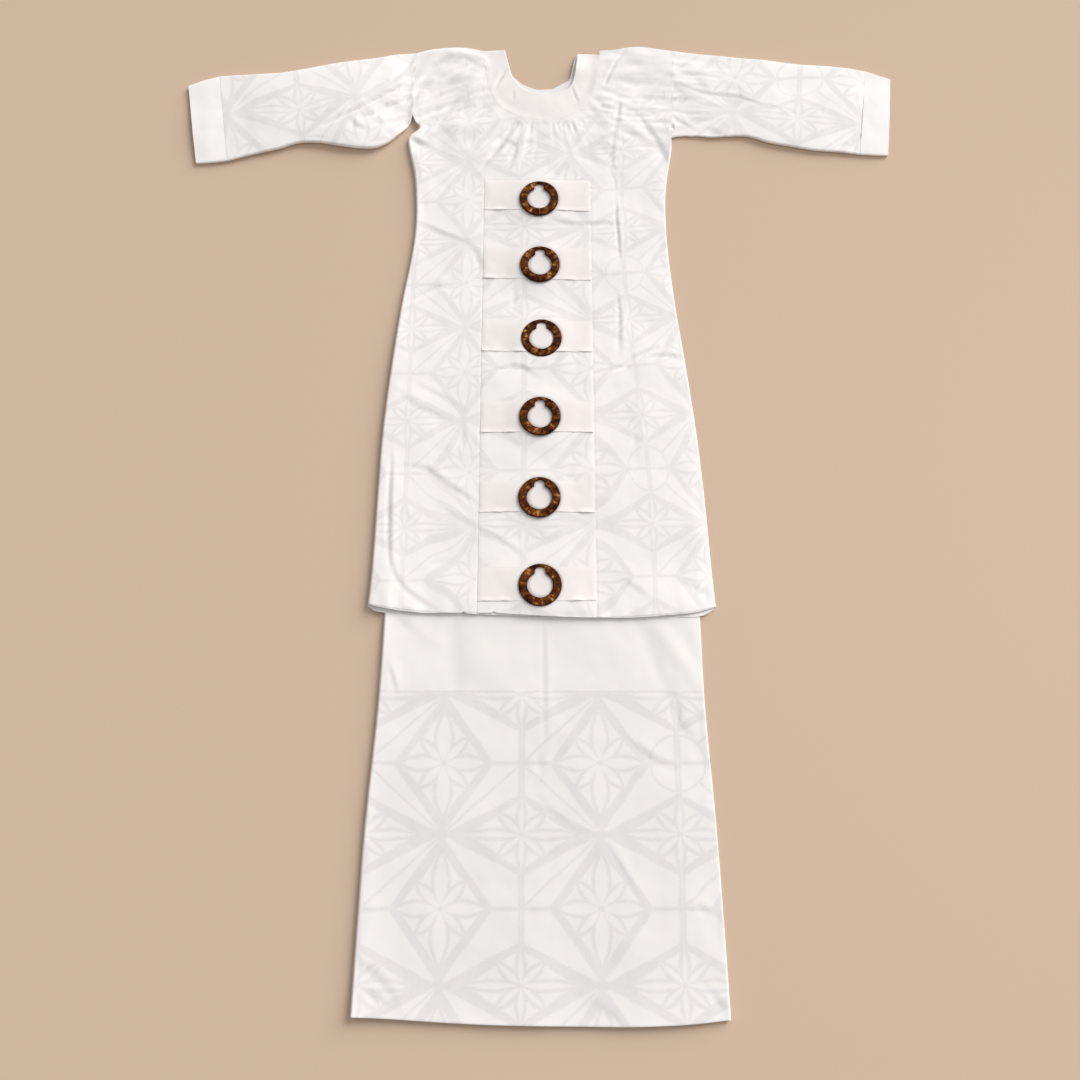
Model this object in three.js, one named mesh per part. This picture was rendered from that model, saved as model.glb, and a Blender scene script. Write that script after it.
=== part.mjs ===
// Puletasi: a long tunic with set-in sleeves, lying on its matching straight skirt.
// The set lies flat with its front up. Millimetres: +x is the wearer's left, +y runs up
// the body to the neck, and z = 0 is the surface under the cloth. In the tables y is
// measured up from the lowest point of the skirt's hem. Right and left are the wearer's.
import * as THREE from 'three';
import { mergeVertices } from 'three/addons/utils/BufferGeometryUtils.js';

// ---------- driving dimensions ----------
const WALL = 1;                    // thickness of one layer of cloth
const SEAM = 0.3;                  // clearance between pieces that are sewn or lie together
const LAYER = WALL + SEAM;         // rise from one layer to the next
const TUBE = 2 * WALL + SEAM;      // height of a pressed flat sleeve or cuff at its edges

const SKIRT_TOP = 892;             // top of the skirt's waistband, under the tunic
const WAISTBAND_DEPTH = 40;
const PANEL_TOP = 1197.5;           // top of the strip applied down the tunic's front
const PANEL_RIGHT = -85;
const PANEL_LEFT = 77;
const PANEL_CENTRE = -4;
const NECK_BOTTOM = 1305.5;        // lowest point of the neckband's outer edge
const NECK_CENTRE = 10;
const BACK_BAND_SHIFT = 3;         // the back neckband shows this far inside the front one

const RING_RADIUS = 29.6;
const RING_EYE_RADIUS = 18.2;
const RING_THICKNESS = 4;
const RING_BEVEL = 1;
const NOTCH_WIDTH = 15;            // keyhole notch at the top of each ring's eye
const NOTCH_TOP_WALL = 4;          // what is left of the ring above the notch

// The tunic's side edges, from the hem to the shoulder tips.
const TUNIC_SIDES = [
  { y: 505, right: -236, left: 241 },
  { y: 571, right: -231.5, left: 236 },
  { y: 662, right: -228.6, left: 233.7 },
  { y: 785, right: -224.5, left: 226 },
  { y: 885, right: -216, left: 213 },
  { y: 994, right: -204, left: 199 },
  { y: 1062, right: -193.6, left: 193 },
  { y: 1113, right: -188.6, left: 190.7 },
  { y: 1175, right: -190, left: 192 },
  { y: 1213, right: -194, left: 197 },
  { y: 1254, right: -203, left: 204 },
  { y: 1278, right: -204, left: 206 },
  { y: 1305.5, right: -199.8, left: 207.6 },
  { y: 1445, right: -197.6, left: 210 },
];

// The tunic's hem, across from the wearer's right side seam to the left one.
const TUNIC_HEM = [
  { x: -236, y: 530 },
  { x: -213, y: 525.5 },
  { x: -146, y: 518.5 },
  { x: -64, y: 517.3 },
  { x: 35, y: 511.8 },
  { x: 85, y: 511 },
  { x: 151, y: 514 },
  { x: 210, y: 519.5 },
  { x: 241, y: 527 },
];
const BACK_HEM_PEEP = { drop: 9, from: 195, to: 232 };  // the back's hem shows below the corners

// Shoulder line of the tunic between the armhole and the neckband.
const SHOULDERS = [
  { x: -198, y: 1433.5 },
  { x: -176, y: 1440 },
  { x: -140, y: 1443.5 },
  { x: -112, y: 1443 },
  { x: -90.5, y: 1438 },
  { x: 95, y: 1436 },
  { x: 138, y: 1446 },
  { x: 165, y: 1445 },
  { x: 210, y: 1437.7 },
];

// The neckband at equal heights of its outer edge, from the shoulders to centre front.
const NECK = [
  { y: 1436, right: -90.5, left: 95, inRightX: -56, inRightY: 1433.5, inLeftX: 59.5, inLeftY: 1428 },
  { y: 1412, right: -89, left: 95.5, inRightX: -52, inRightY: 1421, inLeftX: 56.5, inLeftY: 1418 },
  { y: 1382, right: -85, left: 91.5, inRightX: -45, inRightY: 1399, inLeftX: 52, inLeftY: 1401 },
  { y: 1355, right: -77, left: 82, inRightX: -37, inRightY: 1382, inLeftX: 47, inLeftY: 1386 },
  { y: 1332, right: -65, left: 67, inRightX: -27, inRightY: 1372.5, inLeftX: 40, inLeftY: 1376.5 },
  { y: 1318.5, right: -46, left: 54, inRightX: -18, inRightY: 1370, inLeftX: 32, inLeftY: 1372 },
  { y: 1309, right: -23, left: 35, inRightX: -8, inRightY: 1367.5, inLeftX: 22, inLeftY: 1367 },
];
const NECK_INNER_BOTTOM = { x: 8, y: 1364.5 };

// Bands across the applied strip, and the ring sewn on each.
const BANDS = [
  { ring: 1163, ringX: -1.5, top: PANEL_TOP, bottom: 1144.5 },
  { ring: 1050, ringX: 0, top: 1079.5, bottom: 1027 },
  { ring: 928.5, ringX: 2.2, top: 957.5, bottom: 907.5 },
  { ring: 804, ringX: 0, top: 829.5, bottom: 781 },
  { ring: 682, ringX: -0.8, top: 707.5, bottom: 661.5 },
  { ring: 556, ringX: 0.2, top: 582, bottom: 534.5 },
];

// Sleeves lying flat, from the armhole to the cuff's seam: the fold along the top of the
// arm, the fold under it, and how far the cloth stands up between them.
const SLEEVE_RIGHT = [
  { topX: -198.3, topY: 1433, underX: -200.2, underY: 1312, loft: 1 },
  { topX: -212, topY: 1431, underX: -207, underY: 1290, loft: 2.6 },
  { topX: -235, topY: 1427.5, underX: -226, underY: 1275, loft: 4.2 },
  { topX: -262, topY: 1420.5, underX: -250, underY: 1258, loft: 5.4 },
  { topX: -296, topY: 1415, underX: -275, underY: 1252.5, loft: 6 },
  { topX: -330, topY: 1408.7, underX: -308, underY: 1257, loft: 6 },
  { topX: -370, topY: 1400, underX: -345, underY: 1262, loft: 5.8 },
  { topX: -410, topY: 1392.5, underX: -377, underY: 1263, loft: 5.4 },
  { topX: -440, topY: 1390.5, underX: -405, underY: 1253.5, loft: 5 },
  { topX: -475, topY: 1389, underX: -445, underY: 1243.5, loft: 4 },
  { topX: -512, topY: 1387, underX: -487.5, underY: 1231.8, loft: 2.8 },
];
const SLEEVE_LEFT = [
  { topX: 210.5, topY: 1437.7, underX: 208.6, underY: 1293, loft: 1 },
  { topX: 228, topY: 1434.8, underX: 218, underY: 1282.5, loft: 2.4 },
  { topX: 255, topY: 1430.5, underX: 240, underY: 1278, loft: 3.8 },
  { topX: 290, topY: 1426, underX: 270, underY: 1275.5, loft: 5 },
  { topX: 322, topY: 1421.2, underX: 298, underY: 1276.5, loft: 5.4 },
  { topX: 354, topY: 1418, underX: 325, underY: 1275.5, loft: 5.4 },
  { topX: 388, topY: 1412, underX: 355, underY: 1265, loft: 5.2 },
  { topX: 420, topY: 1408, underX: 388, underY: 1258, loft: 4.8 },
  { topX: 455, topY: 1406, underX: 425, underY: 1251, loft: 4.4 },
  { topX: 488, topY: 1402.5, underX: 462, underY: 1248, loft: 3.6 },
  { topX: 517, topY: 1397, underX: 496, underY: 1244, loft: 2.6 },
];
const CUFF_RIGHT = [
  { topX: -512.3, topY: 1386.9, underX: -487.8, underY: 1231.8, loft: 2.6 },
  { topX: -534, topY: 1379.5, underX: -510, underY: 1229, loft: 2.6 },
  { topX: -557, topY: 1370.3, underX: -532, underY: 1228, loft: 2 },
];
const CUFF_LEFT = [
  { topX: 517.3, topY: 1396.9, underX: 496.3, underY: 1244, loft: 2.4 },
  { topX: 536, topY: 1389.7, underX: 518, underY: 1242.5, loft: 2.4 },
  { topX: 556, topY: 1382.5, underX: 540, underY: 1242.3, loft: 1.8 },
];

// The skirt's side edges and hem.
const SKIRT_SIDES = [
  { y: 0, right: -233.5, left: 234.5 },
  { y: 120, right: -230, left: 231 },
  { y: 234, right: -226, left: 227 },
  { y: 401, right: -215, left: 218.5 },
  { y: 516, right: -211.5, left: 217 },
  { y: 700, right: -209, left: 214 },
  { y: 819, right: -206, left: 208 },
  { y: 860, right: -193, left: 195 },
  { y: SKIRT_TOP, right: -178, left: 180 },
];
const SKIRT_HEM = [
  { x: -233.5, y: 12.2 },
  { x: -191, y: 9.9 },
  { x: -123, y: 4.6 },
  { x: -56, y: 1.7 },
  { x: 45, y: 0 },
  { x: 113, y: 0 },
  { x: 180, y: 3 },
  { x: 234.5, y: 8.7 },
];
const SKIRT_CREASE = { x: 5, from: 200, to: 480, height: 1.6 }; // pressed line down the centre

// Largest folds of the tunic's front and of the skirt, each a soft ridge along a line.
const TUNIC_FOLDS = [
  { x0: 97, y0: 1335, x1: 120, y1: 925, width: 20, height: 2 },
  { x0: 196, y0: 1262, x1: 150, y1: 1330, width: 18, height: 1.8 },
  { x0: -190, y0: 1270, x1: -120, y1: 1345, width: 18, height: 1.8 },
  { x0: -160, y0: 1112, x1: -92, y1: 1085, width: 16, height: 1.6 },
  { x0: -168, y0: 718, x1: -92, y1: 655, width: 18, height: 1.6 },
  { x0: 182, y0: 735, x1: 128, y1: 760, width: 16, height: 1.5 },
];
const SKIRT_FOLDS = [
  { x0: 133, y0: 492, x1: 178, y1: 412, width: 20, height: 2 },
  { x0: -110, y0: 495, x1: -98, y1: 430, width: 18, height: 1.8 },
  { x0: 12, y0: 280, x1: 128, y1: 150, width: 24, height: 2 },
];
const SIDE_LOFT = 1.6;             // the front's stand between the strip and the side seam
const PANEL_LOFT = 0.8;            // and under the strip, where the layers are stiffest

const CLOTH_WHITE = 0xf7f6f7;
const PLAIN_WHITE = 0xeceaf0;
const SHELL_BROWN = 0x3a1c0e;

// ---------- functions of the tables ----------

// Value of a table's column at a place along another column, on a smooth curve through its rows.
function curveAt(rows, along, column, place) {
  const last = rows.length - 1;
  let i = rows.findIndex((row) => place < row[along]) - 1;
  if (i === -2) i = last - 1;
  i = Math.max(i, 0);
  const slope = (a, b) => (rows[b][column] - rows[a][column]) / (rows[b][along] - rows[a][along]);
  const span = rows[i + 1][along] - rows[i][along];
  const t = THREE.MathUtils.clamp((place - rows[i][along]) / span, 0, 1);
  const here = slope(i, i + 1);
  const startSlope = i > 0 ? (slope(i - 1, i) + here) / 2 : here;
  const endSlope = i + 1 < last ? (here + slope(i + 1, i + 2)) / 2 : here;
  return (2 * t ** 3 - 3 * t ** 2 + 1) * rows[i][column]
    + (t ** 3 - 2 * t ** 2 + t) * span * startSlope
    + (3 * t ** 2 - 2 * t ** 3) * rows[i + 1][column]
    + (t ** 3 - t ** 2) * span * endSlope;
}

const lerp = THREE.MathUtils.lerp;
const tunicSide = (side, y) => curveAt(TUNIC_SIDES, 'y', side, y);
const skirtSide = (side, y) => curveAt(SKIRT_SIDES, 'y', side, Math.min(y, SKIRT_TOP));
const tunicHem = (x) => curveAt(TUNIC_HEM, 'x', 'y', x);
const skirtHem = (x) => curveAt(SKIRT_HEM, 'x', 'y', x);
const shoulder = (x) => curveAt(SHOULDERS, 'x', 'y', x);

// 1 on a fold's line, falling smoothly to 0 at its width and at its ends.
function foldShape(fold, x, y) {
  const run = new THREE.Vector2(fold.x1 - fold.x0, fold.y1 - fold.y0);
  const along = ((x - fold.x0) * run.x + (y - fold.y0) * run.y) / run.lengthSq();
  if (along <= 0 || along >= 1) return 0;
  const off = Math.abs((x - fold.x0) * run.y - (y - fold.y0) * run.x) / run.length() / fold.width;
  return off >= 1 ? 0 : (0.5 + 0.5 * Math.cos(Math.PI * off)) * Math.sin(Math.PI * along) ** 0.5;
}

const foldHeight = (folds, x, y) =>
  Math.max(...folds.map((fold) => fold.height * foldShape(fold, x, y)));

// ---------- closed bodies ----------

// A body from points and triangles, turned so that its faces point out.
function body(points, triangles) {
  const geometry = new THREE.BufferGeometry();
  geometry.setAttribute('position', new THREE.Float32BufferAttribute(points.flat(), 3));
  let volume = 0;
  for (const [a, b, c] of triangles) {
    const [p, q, r] = [points[a], points[b], points[c]].map((point) => new THREE.Vector3(...point));
    volume += p.dot(q.cross(r));
  }
  const outward = volume > 0 ? triangles : triangles.map(([a, b, c]) => [a, c, b]);
  geometry.setIndex(outward.flat());
  return geometry;
}

// One layer of cloth: its under face through the points, its top face a wall above, and a
// rim along every edge that only one cell has.
function slab(points, cells) {
  const count = points.length;
  const both = [...points, ...points.map(([x, y, z]) => [x, y, z + WALL])];
  const triangles = [];
  const edges = new Map();
  for (const cell of cells) {
    const [a, b, c, d] = cell;
    triangles.push([a + count, b + count, c + count], [a + count, c + count, d + count]);
    triangles.push([a, c, b], [a, d, c]);
    cell.forEach((from, k) => edges.set(`${from} ${cell[(k + 1) % 4]}`, [from, cell[(k + 1) % 4]]));
  }
  for (const [from, to] of edges.values()) {
    if (edges.has(`${to} ${from}`)) continue;
    triangles.push([from, to, to + count], [from, to + count, from + count]);
  }
  return body(both, triangles);
}

// Cells of a plain grid of points, rows of equal length, numbered row by row.
function gridCells(rowCount, columnCount, first = 0) {
  const cells = [];
  for (let row = 0; row + 1 < rowCount; row += 1) {
    for (let column = 0; column + 1 < columnCount; column += 1) {
      const corner = first + row * columnCount + column;
      cells.push([corner, corner + 1, corner + columnCount + 1, corner + columnCount]);
    }
  }
  return cells;
}

// A pressed flat tube of cloth, open at both ends, through sections from a fold to a fold.
const ACROSS = [0.02, 0.12, 0.3, 0.5, 0.7, 0.88, 0.98];
function flatTube(sections) {
  const loop = (section, inset) => {
    const top = new THREE.Vector2(section.topX, section.topY);
    const under = new THREE.Vector2(section.underX, section.underY);
    const step = under.clone().sub(top).setLength(inset);
    top.add(step);
    under.sub(step);
    const at = (u, z) => [lerp(top.x, under.x, u), lerp(top.y, under.y, u), z];
    const crown = (u) => TUBE - inset + section.loft * Math.sin(Math.PI * u) ** 0.8;
    return [
      at(0, TUBE / 2),
      ...ACROSS.map((u) => at(u, crown(u))),
      at(1, TUBE / 2),
      ...[...ACROSS].reverse().map((u) => at(u, inset)),
    ];
  };
  const outer = sections.map((section) => loop(section, 0));
  const inner = sections.map((section) => loop(section, WALL));
  const size = outer[0].length;
  const points = [...outer, ...inner].flat();
  const triangles = [];
  const quad = (a, b, c, d) => triangles.push([a, b, c], [a, c, d]);
  const innerStart = sections.length * size;
  for (let k = 0; k < size; k += 1) {
    const next = (k + 1) % size;
    for (let s = 0; s + 1 < sections.length; s += 1) {
      const [here, ahead] = [s * size, (s + 1) * size];
      quad(here + k, ahead + k, ahead + next, here + next);
      quad(innerStart + here + next, innerStart + ahead + next, innerStart + ahead + k,
        innerStart + here + k);
    }
    const end = (sections.length - 1) * size;
    quad(k, next, innerStart + next, innerStart + k);
    quad(end + next, end + k, innerStart + end + k, innerStart + end + next);
  }
  return body(points, triangles);
}

// ---------- the tunic's grid ----------

// Columns run from each side seam past the skirt's edge below to the strip and the centre,
// as shares of the way, so the front, back, strip and bands have the same cells.
const SIDE_CELLS = [0, 0.5, 1, 4 / 3, 5 / 3, 2];   // 0 side seam, 1 the skirt's edge, 2 the strip
const PANEL_CELLS = [1 / 3, 2 / 3, 1];              // 0 the strip's edge, 1 the centre
const HALF = SIDE_CELLS.length + PANEL_CELLS.length;

function halfRow(side, y) {
  const seam = tunicSide(side, y);
  const edge = side === 'right' ? PANEL_RIGHT : PANEL_LEFT;
  const rise = THREE.MathUtils.smoothstep(y, PANEL_TOP, NECK_BOTTOM);
  const centre = lerp(PANEL_CENTRE, NECK_CENTRE, rise);
  const level = Math.min(y, SKIRT_TOP);
  const share = (skirtSide(side, level) - tunicSide(side, level)) / (edge - tunicSide(side, level));
  const skirtEdge = lerp(seam, edge, share);
  return [
    ...SIDE_CELLS.map((c) => (c < 1 ? lerp(seam, skirtEdge, c) : lerp(skirtEdge, edge, c - 1))),
    ...PANEL_CELLS.map((c) => lerp(edge, centre, c)),
  ];
}

const bandRows = BANDS.flatMap(({ top, bottom }) => [top, (top + bottom) / 2, bottom]);
const BODY_ROWS = [...bandRows, 623, 747, 862, SKIRT_TOP, 994, 1114, 1240, 1275, NECK_BOTTOM]
  .sort((a, b) => a - b);

// Height of the tunic's under face: over the skirt it lies on two layers, and it drops to
// the surface between the skirt's edge and its own seam, and above the skirt's waistband.
function groundOf(column, y) {
  const fromSeam = Math.min(column, 2 * HALF - 2 - column);
  return fromSeam >= 2 && y <= SKIRT_TOP ? 2 * LAYER : 0;
}

// How far the front stands off the back: least at the seams and hem, most at its folds.
function frontLoft(column, x, y) {
  const fromSeam = Math.min(column, 2 * HALF - 2 - column);
  if (fromSeam === 0) return 0;
  const overPanel = fromSeam >= SIDE_CELLS.length - 1;
  const swell = overPanel ? PANEL_LOFT : SIDE_LOFT * Math.min(fromSeam / 2, 1);
  const nearHem = THREE.MathUtils.smoothstep(y, tunicHem(x), tunicHem(x) + 60);
  const nearNeck = 1 - THREE.MathUtils.smoothstep(y, NECK_BOTTOM - 30, NECK_BOTTOM);
  const folds = overPanel ? 0 : foldHeight(TUNIC_FOLDS, x, y);
  return (swell * nearHem + folds) * Math.max(nearNeck, overPanel ? 0 : 0.3);
}

// Points and cells of the tunic's front or back: rows across the body up to the neckline,
// then a lobe of cloth on each side of the neck up to the shoulder.
function tunicGrid(hemDrop, heightOf) {
  const width = 2 * HALF - 1;
  const points = [];
  const put = (column, x, y) => points.push([x, y, heightOf(column, x, y)]);
  const bodyRow = (y) => [...halfRow('right', y), ...halfRow('left', y).reverse().slice(1)];
  bodyRow(BODY_ROWS[0]).forEach((x, column) => {
    const corner = THREE.MathUtils.smoothstep(Math.abs(x), BACK_HEM_PEEP.from, BACK_HEM_PEEP.to);
    put(column, x, tunicHem(x) - hemDrop * corner);
  });
  BODY_ROWS.forEach((y) => bodyRow(y).forEach((x, column) => put(column, x, y)));
  const cells = gridCells(BODY_ROWS.length + 1, width);

  const lobe = (side, startColumn) => {
    const shares = halfRow(side, NECK_BOTTOM)
      .map((x) => (x - tunicSide(side, NECK_BOTTOM)) / (NECK_CENTRE - tunicSide(side, NECK_BOTTOM)));
    const outwards = side === 'right' ? 1 : -1;
    let below = shares.map((share, k) => BODY_ROWS.length * width + startColumn + outwards * k);
    const heights = NECK.map((row) => row.y).reverse();
    heights.forEach((level, step) => {
      const neckX = NECK[NECK.length - 1 - step][side] - outwards * SEAM;
      const here = [];
      shares.forEach((share, k) => {
        const rise = (level - NECK_BOTTOM) / (NECK[0].y - NECK_BOTTOM);
        const x = lerp(tunicSide(side, level), neckX, share);
        const y = lerp(lerp(NECK_BOTTOM, shoulder(x), rise), level, share > 0.999 ? 1 : share ** 4);
        here.push(points.length);
        put(startColumn + outwards * k, x, y);
      });
      for (let k = 0; k + 1 < here.length; k += 1) {
        const cell = [below[k], below[k + 1], here[k + 1], here[k]];
        cells.push(side === 'right' ? cell : cell.reverse());
      }
      below = here;
    });
  };
  lobe('right', 0);
  lobe('left', width - 1);
  return { points, cells };
}

const frontHeight = (column, x, y) => groundOf(column, y) + LAYER + frontLoft(column, x, y);
const front = tunicGrid(0, frontHeight);
const back = tunicGrid(BACK_HEM_PEEP.drop, (column, x, y) => groundOf(column, y));

// A piece that lies on the front between two heights of the strip: its grid is the front's
// own points there, moved up by whole layers.
function onStrip(fromRow, toRow, layers) {
  const width = 2 * HALF - 1;
  const firstColumn = SIDE_CELLS.length - 1;
  const lastColumn = width - SIDE_CELLS.length;
  const points = [];
  for (let row = fromRow; row <= toRow; row += 1) {
    for (let column = firstColumn; column <= lastColumn; column += 1) {
      const [x, y, z] = front.points[row * width + column];
      points.push([x, y, z + layers * LAYER]);
    }
  }
  return slab(points, gridCells(toRow - fromRow + 1, lastColumn - firstColumn + 1));
}

const rowOf = (y) => BODY_ROWS.indexOf(y) + 1;      // row 0 is the hem itself

// ---------- pieces ----------

function neckband(shift, height) {
  const stations = [
    ...NECK.map((row) => [row.right, row.y, row.inRightX + shift, row.inRightY]),
    [NECK_CENTRE, NECK_BOTTOM + SEAM, NECK_INNER_BOTTOM.x, NECK_INNER_BOTTOM.y + shift],
    ...[...NECK].reverse().map((row) => [row.left, row.y, row.inLeftX - shift, row.inLeftY]),
  ];
  const across = [0, 0.5, 1];
  const points = stations.flatMap(([outX, outY, inX, inY]) =>
    across.map((u) => [lerp(outX, inX, u), lerp(outY, inY, u), height]));
  return slab(points, gridCells(stations.length, across.length));
}

const SKIRT_ROWS = [25, 60, 110, 150, 200, 245, 290, 350, 412, 450, 492, 560, 700, 780, 819];
const SKIRT_COLUMNS = [0, 0.12, 0.26, 0.4, 0.5, 0.6, 0.74, 0.88, 1];
function skirtPanel(base, lofty) {
  const top = SKIRT_TOP - WAISTBAND_DEPTH - SEAM;
  const acrossAt = (u, y) => {
    const [right, left] = [skirtSide('right', y), skirtSide('left', y)];
    return u < 0.5 ? lerp(right, SKIRT_CREASE.x, 2 * u) : lerp(SKIRT_CREASE.x, left, 2 * u - 1);
  };
  const loft = (u, x, y) => {
    if (!lofty || u === 0 || u === 1) return 0;
    const pressed = y > SKIRT_CREASE.from && y < SKIRT_CREASE.to && u === 0.5;
    return Math.max(foldHeight(SKIRT_FOLDS, x, y), pressed ? SKIRT_CREASE.height : 0);
  };
  const hemRow = SKIRT_COLUMNS.map((u) => {
    const x = acrossAt(u, 0);
    return [x, skirtHem(x), base];
  });
  const rows = [...SKIRT_ROWS, top].map((y) => SKIRT_COLUMNS.map((u) => {
    const x = acrossAt(u, y);
    return [x, y, base + loft(u, x, y)];
  }));
  return slab([hemRow, ...rows].flat(), gridCells(rows.length + 1, SKIRT_COLUMNS.length));
}

function waistband() {
  const edge = (y) => ({
    topX: skirtSide('right', y), topY: y, underX: skirtSide('left', y), underY: y, loft: 0,
  });
  return flatTube([edge(SKIRT_TOP - WAISTBAND_DEPTH), edge(SKIRT_TOP - WAISTBAND_DEPTH / 2),
    edge(SKIRT_TOP - SEAM)]);
}

// A flat ring with a round eye and a round-topped notch in the eye's upper edge.
function ringGeometry() {
  const shape = new THREE.Shape();
  shape.absarc(0, 0, RING_RADIUS - RING_BEVEL, 0, 2 * Math.PI, false);
  const eye = new THREE.Path();
  const eyeRadius = RING_EYE_RADIUS + RING_BEVEL;
  const half = NOTCH_WIDTH / 2 + RING_BEVEL;
  const corner = Math.asin(half / eyeRadius);
  const notchTop = RING_RADIUS - NOTCH_TOP_WALL + RING_BEVEL;
  eye.absarc(0, 0, eyeRadius, Math.PI / 2 + corner, 2.5 * Math.PI - corner, false);
  eye.lineTo(half, notchTop - half);
  eye.absarc(0, notchTop - half, half, 0, Math.PI, false);
  shape.holes.push(eye);
  const geometry = new THREE.ExtrudeGeometry(shape, {
    depth: RING_THICKNESS - 2 * RING_BEVEL,
    bevelThickness: RING_BEVEL,
    bevelSize: RING_BEVEL,
    bevelSegments: 1,
    curveSegments: 10,
  });
  geometry.translate(0, 0, RING_BEVEL);
  geometry.deleteAttribute('normal');
  geometry.deleteAttribute('uv');
  return mergeVertices(geometry);
}

// ---------- materials and the set ----------

const cloth = (color) => new THREE.MeshStandardMaterial({ color, roughness: 0.9, metalness: 0 });
const shell = () => new THREE.MeshStandardMaterial({ color: SHELL_BROWN, roughness: 0.25, metalness: 0 });

const group = new THREE.Group();
function add(name, geometry, material) {
  const mesh = new THREE.Mesh(geometry, material);
  mesh.name = name;
  group.add(mesh);
  return mesh;
}

add('skirt_back', skirtPanel(0, false), cloth(CLOTH_WHITE));
add('skirt_front', skirtPanel(LAYER, true), cloth(CLOTH_WHITE));
add('skirt_waistband', waistband(), cloth(PLAIN_WHITE));
add('tunic_back', slab(back.points, back.cells), cloth(CLOTH_WHITE));
add('tunic_front', slab(front.points, front.cells), cloth(CLOTH_WHITE));
add('neckband_back', neckband(BACK_BAND_SHIFT, 0), cloth(PLAIN_WHITE));
add('neckband_front', neckband(0, LAYER), cloth(PLAIN_WHITE));
add('sleeve_right', flatTube(SLEEVE_RIGHT), cloth(CLOTH_WHITE));
add('sleeve_left', flatTube(SLEEVE_LEFT), cloth(CLOTH_WHITE));
add('cuff_right', flatTube(CUFF_RIGHT), cloth(PLAIN_WHITE));
add('cuff_left', flatTube(CUFF_LEFT), cloth(PLAIN_WHITE));
add('front_panel', onStrip(0, rowOf(PANEL_TOP), 1), cloth(CLOTH_WHITE));
BANDS.forEach(({ ring, ringX, top, bottom }, k) => {
  add(`band_${k + 1}`, onStrip(rowOf(bottom), rowOf(top), 2), cloth(PLAIN_WHITE));
  const rest = groundOf(HALF - 1, bottom) + LAYER + PANEL_LOFT + 2 * LAYER + LAYER;
  add(`ring_${k + 1}`, ringGeometry(), shell()).position.set(ringX, ring, rest);
});

// The origin is under the centre of the set, on the surface that it lies on.
const box = new THREE.Box3().setFromObject(group);
const centre = box.getCenter(new THREE.Vector3());
group.position.set(-centre.x, -centre.y, -box.min.z);

export default group;
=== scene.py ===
"""Dresses a puletasi, a long printed tunic laid flat on its matching skirt.

Lengths in the tables are millimetres: x towards the wearer's left from the centre line, y up
the body from the lowest point of the skirt's hem, z up from the surface under the cloth.
Right and left are the wearer's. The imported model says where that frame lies.
"""
import math
from collections import namedtuple

import bmesh
import bpy
import numpy as np
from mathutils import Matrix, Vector, noise


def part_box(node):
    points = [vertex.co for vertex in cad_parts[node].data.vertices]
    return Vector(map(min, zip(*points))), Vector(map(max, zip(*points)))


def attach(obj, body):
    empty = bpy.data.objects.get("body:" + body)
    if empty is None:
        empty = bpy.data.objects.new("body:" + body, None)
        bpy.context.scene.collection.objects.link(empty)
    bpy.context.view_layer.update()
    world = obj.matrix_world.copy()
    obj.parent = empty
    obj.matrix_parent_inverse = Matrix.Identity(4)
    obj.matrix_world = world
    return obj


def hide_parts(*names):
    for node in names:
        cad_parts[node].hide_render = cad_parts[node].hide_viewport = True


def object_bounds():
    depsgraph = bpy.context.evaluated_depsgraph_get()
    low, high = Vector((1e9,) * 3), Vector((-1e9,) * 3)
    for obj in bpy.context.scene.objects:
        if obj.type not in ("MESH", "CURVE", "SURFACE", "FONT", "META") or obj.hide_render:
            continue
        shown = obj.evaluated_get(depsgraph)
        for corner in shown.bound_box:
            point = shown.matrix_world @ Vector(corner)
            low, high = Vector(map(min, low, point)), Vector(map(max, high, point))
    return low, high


bl_info = {
    "name": "Puletasi dresser",
    "version": (1, 0, 0),
    "blender": (4, 5, 0),
    "location": "View3D > Sidebar > Puletasi",
    "description": "Builds the cloth, rings and stage of a puletasi laid flat",
    "category": "Object",
}

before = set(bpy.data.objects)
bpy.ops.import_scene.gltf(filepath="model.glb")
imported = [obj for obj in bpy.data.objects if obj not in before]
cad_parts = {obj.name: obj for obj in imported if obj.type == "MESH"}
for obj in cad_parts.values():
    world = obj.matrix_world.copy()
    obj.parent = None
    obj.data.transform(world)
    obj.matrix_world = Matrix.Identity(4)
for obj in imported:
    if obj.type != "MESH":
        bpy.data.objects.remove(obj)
cad_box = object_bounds()

MM = 0.001
STRIP_CENTRE = -4.0                       # of the strip down the front, and so of each band
PLACE_X = (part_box("band_1")[0].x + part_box("band_1")[1].x) / 2 - STRIP_CENTRE * MM
PLACE_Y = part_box("skirt_front")[0].y
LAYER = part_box("skirt_front")[0].z / MM    # rise from one layer of cloth to the next
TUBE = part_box("skirt_waistband")[1].z / MM
TUNIC_SEAM, SKIRT_SEAM = 2.6, 2.8         # height of a side seam above what is under it

# ---------- the cut ----------

SKIRT_TOP = 892.0
WAISTBAND_DEPTH = 40.0
SKIRT_PRINT_TOP = 413.0                   # plain cloth above this line
STRIP_TOP = 1197.5
STRIP_RIGHT, STRIP_LEFT = -85.0, 77.0
STRIP_WIDTH = STRIP_LEFT - STRIP_RIGHT
NECK_BOTTOM = (10.0, 1305.5)
TUNIC_CORNER = 520.0                      # height of the corners of the tunic's hem
SKIRT_PRESSED = (470, 640)                # the tunic comes to lie on the skirt between these
BACK_ROLL = 3.6                           # reach of the rolled side of a back
SWELL, SWELL_REACH, DIP_REACH = 2.4, 34.0, 30.0    # the cloth's loft, and its changes by an edge
REPEAT_ACROSS, REPEAT_UP = 204, 180       # of the print on the skirt and the sleeves

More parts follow.
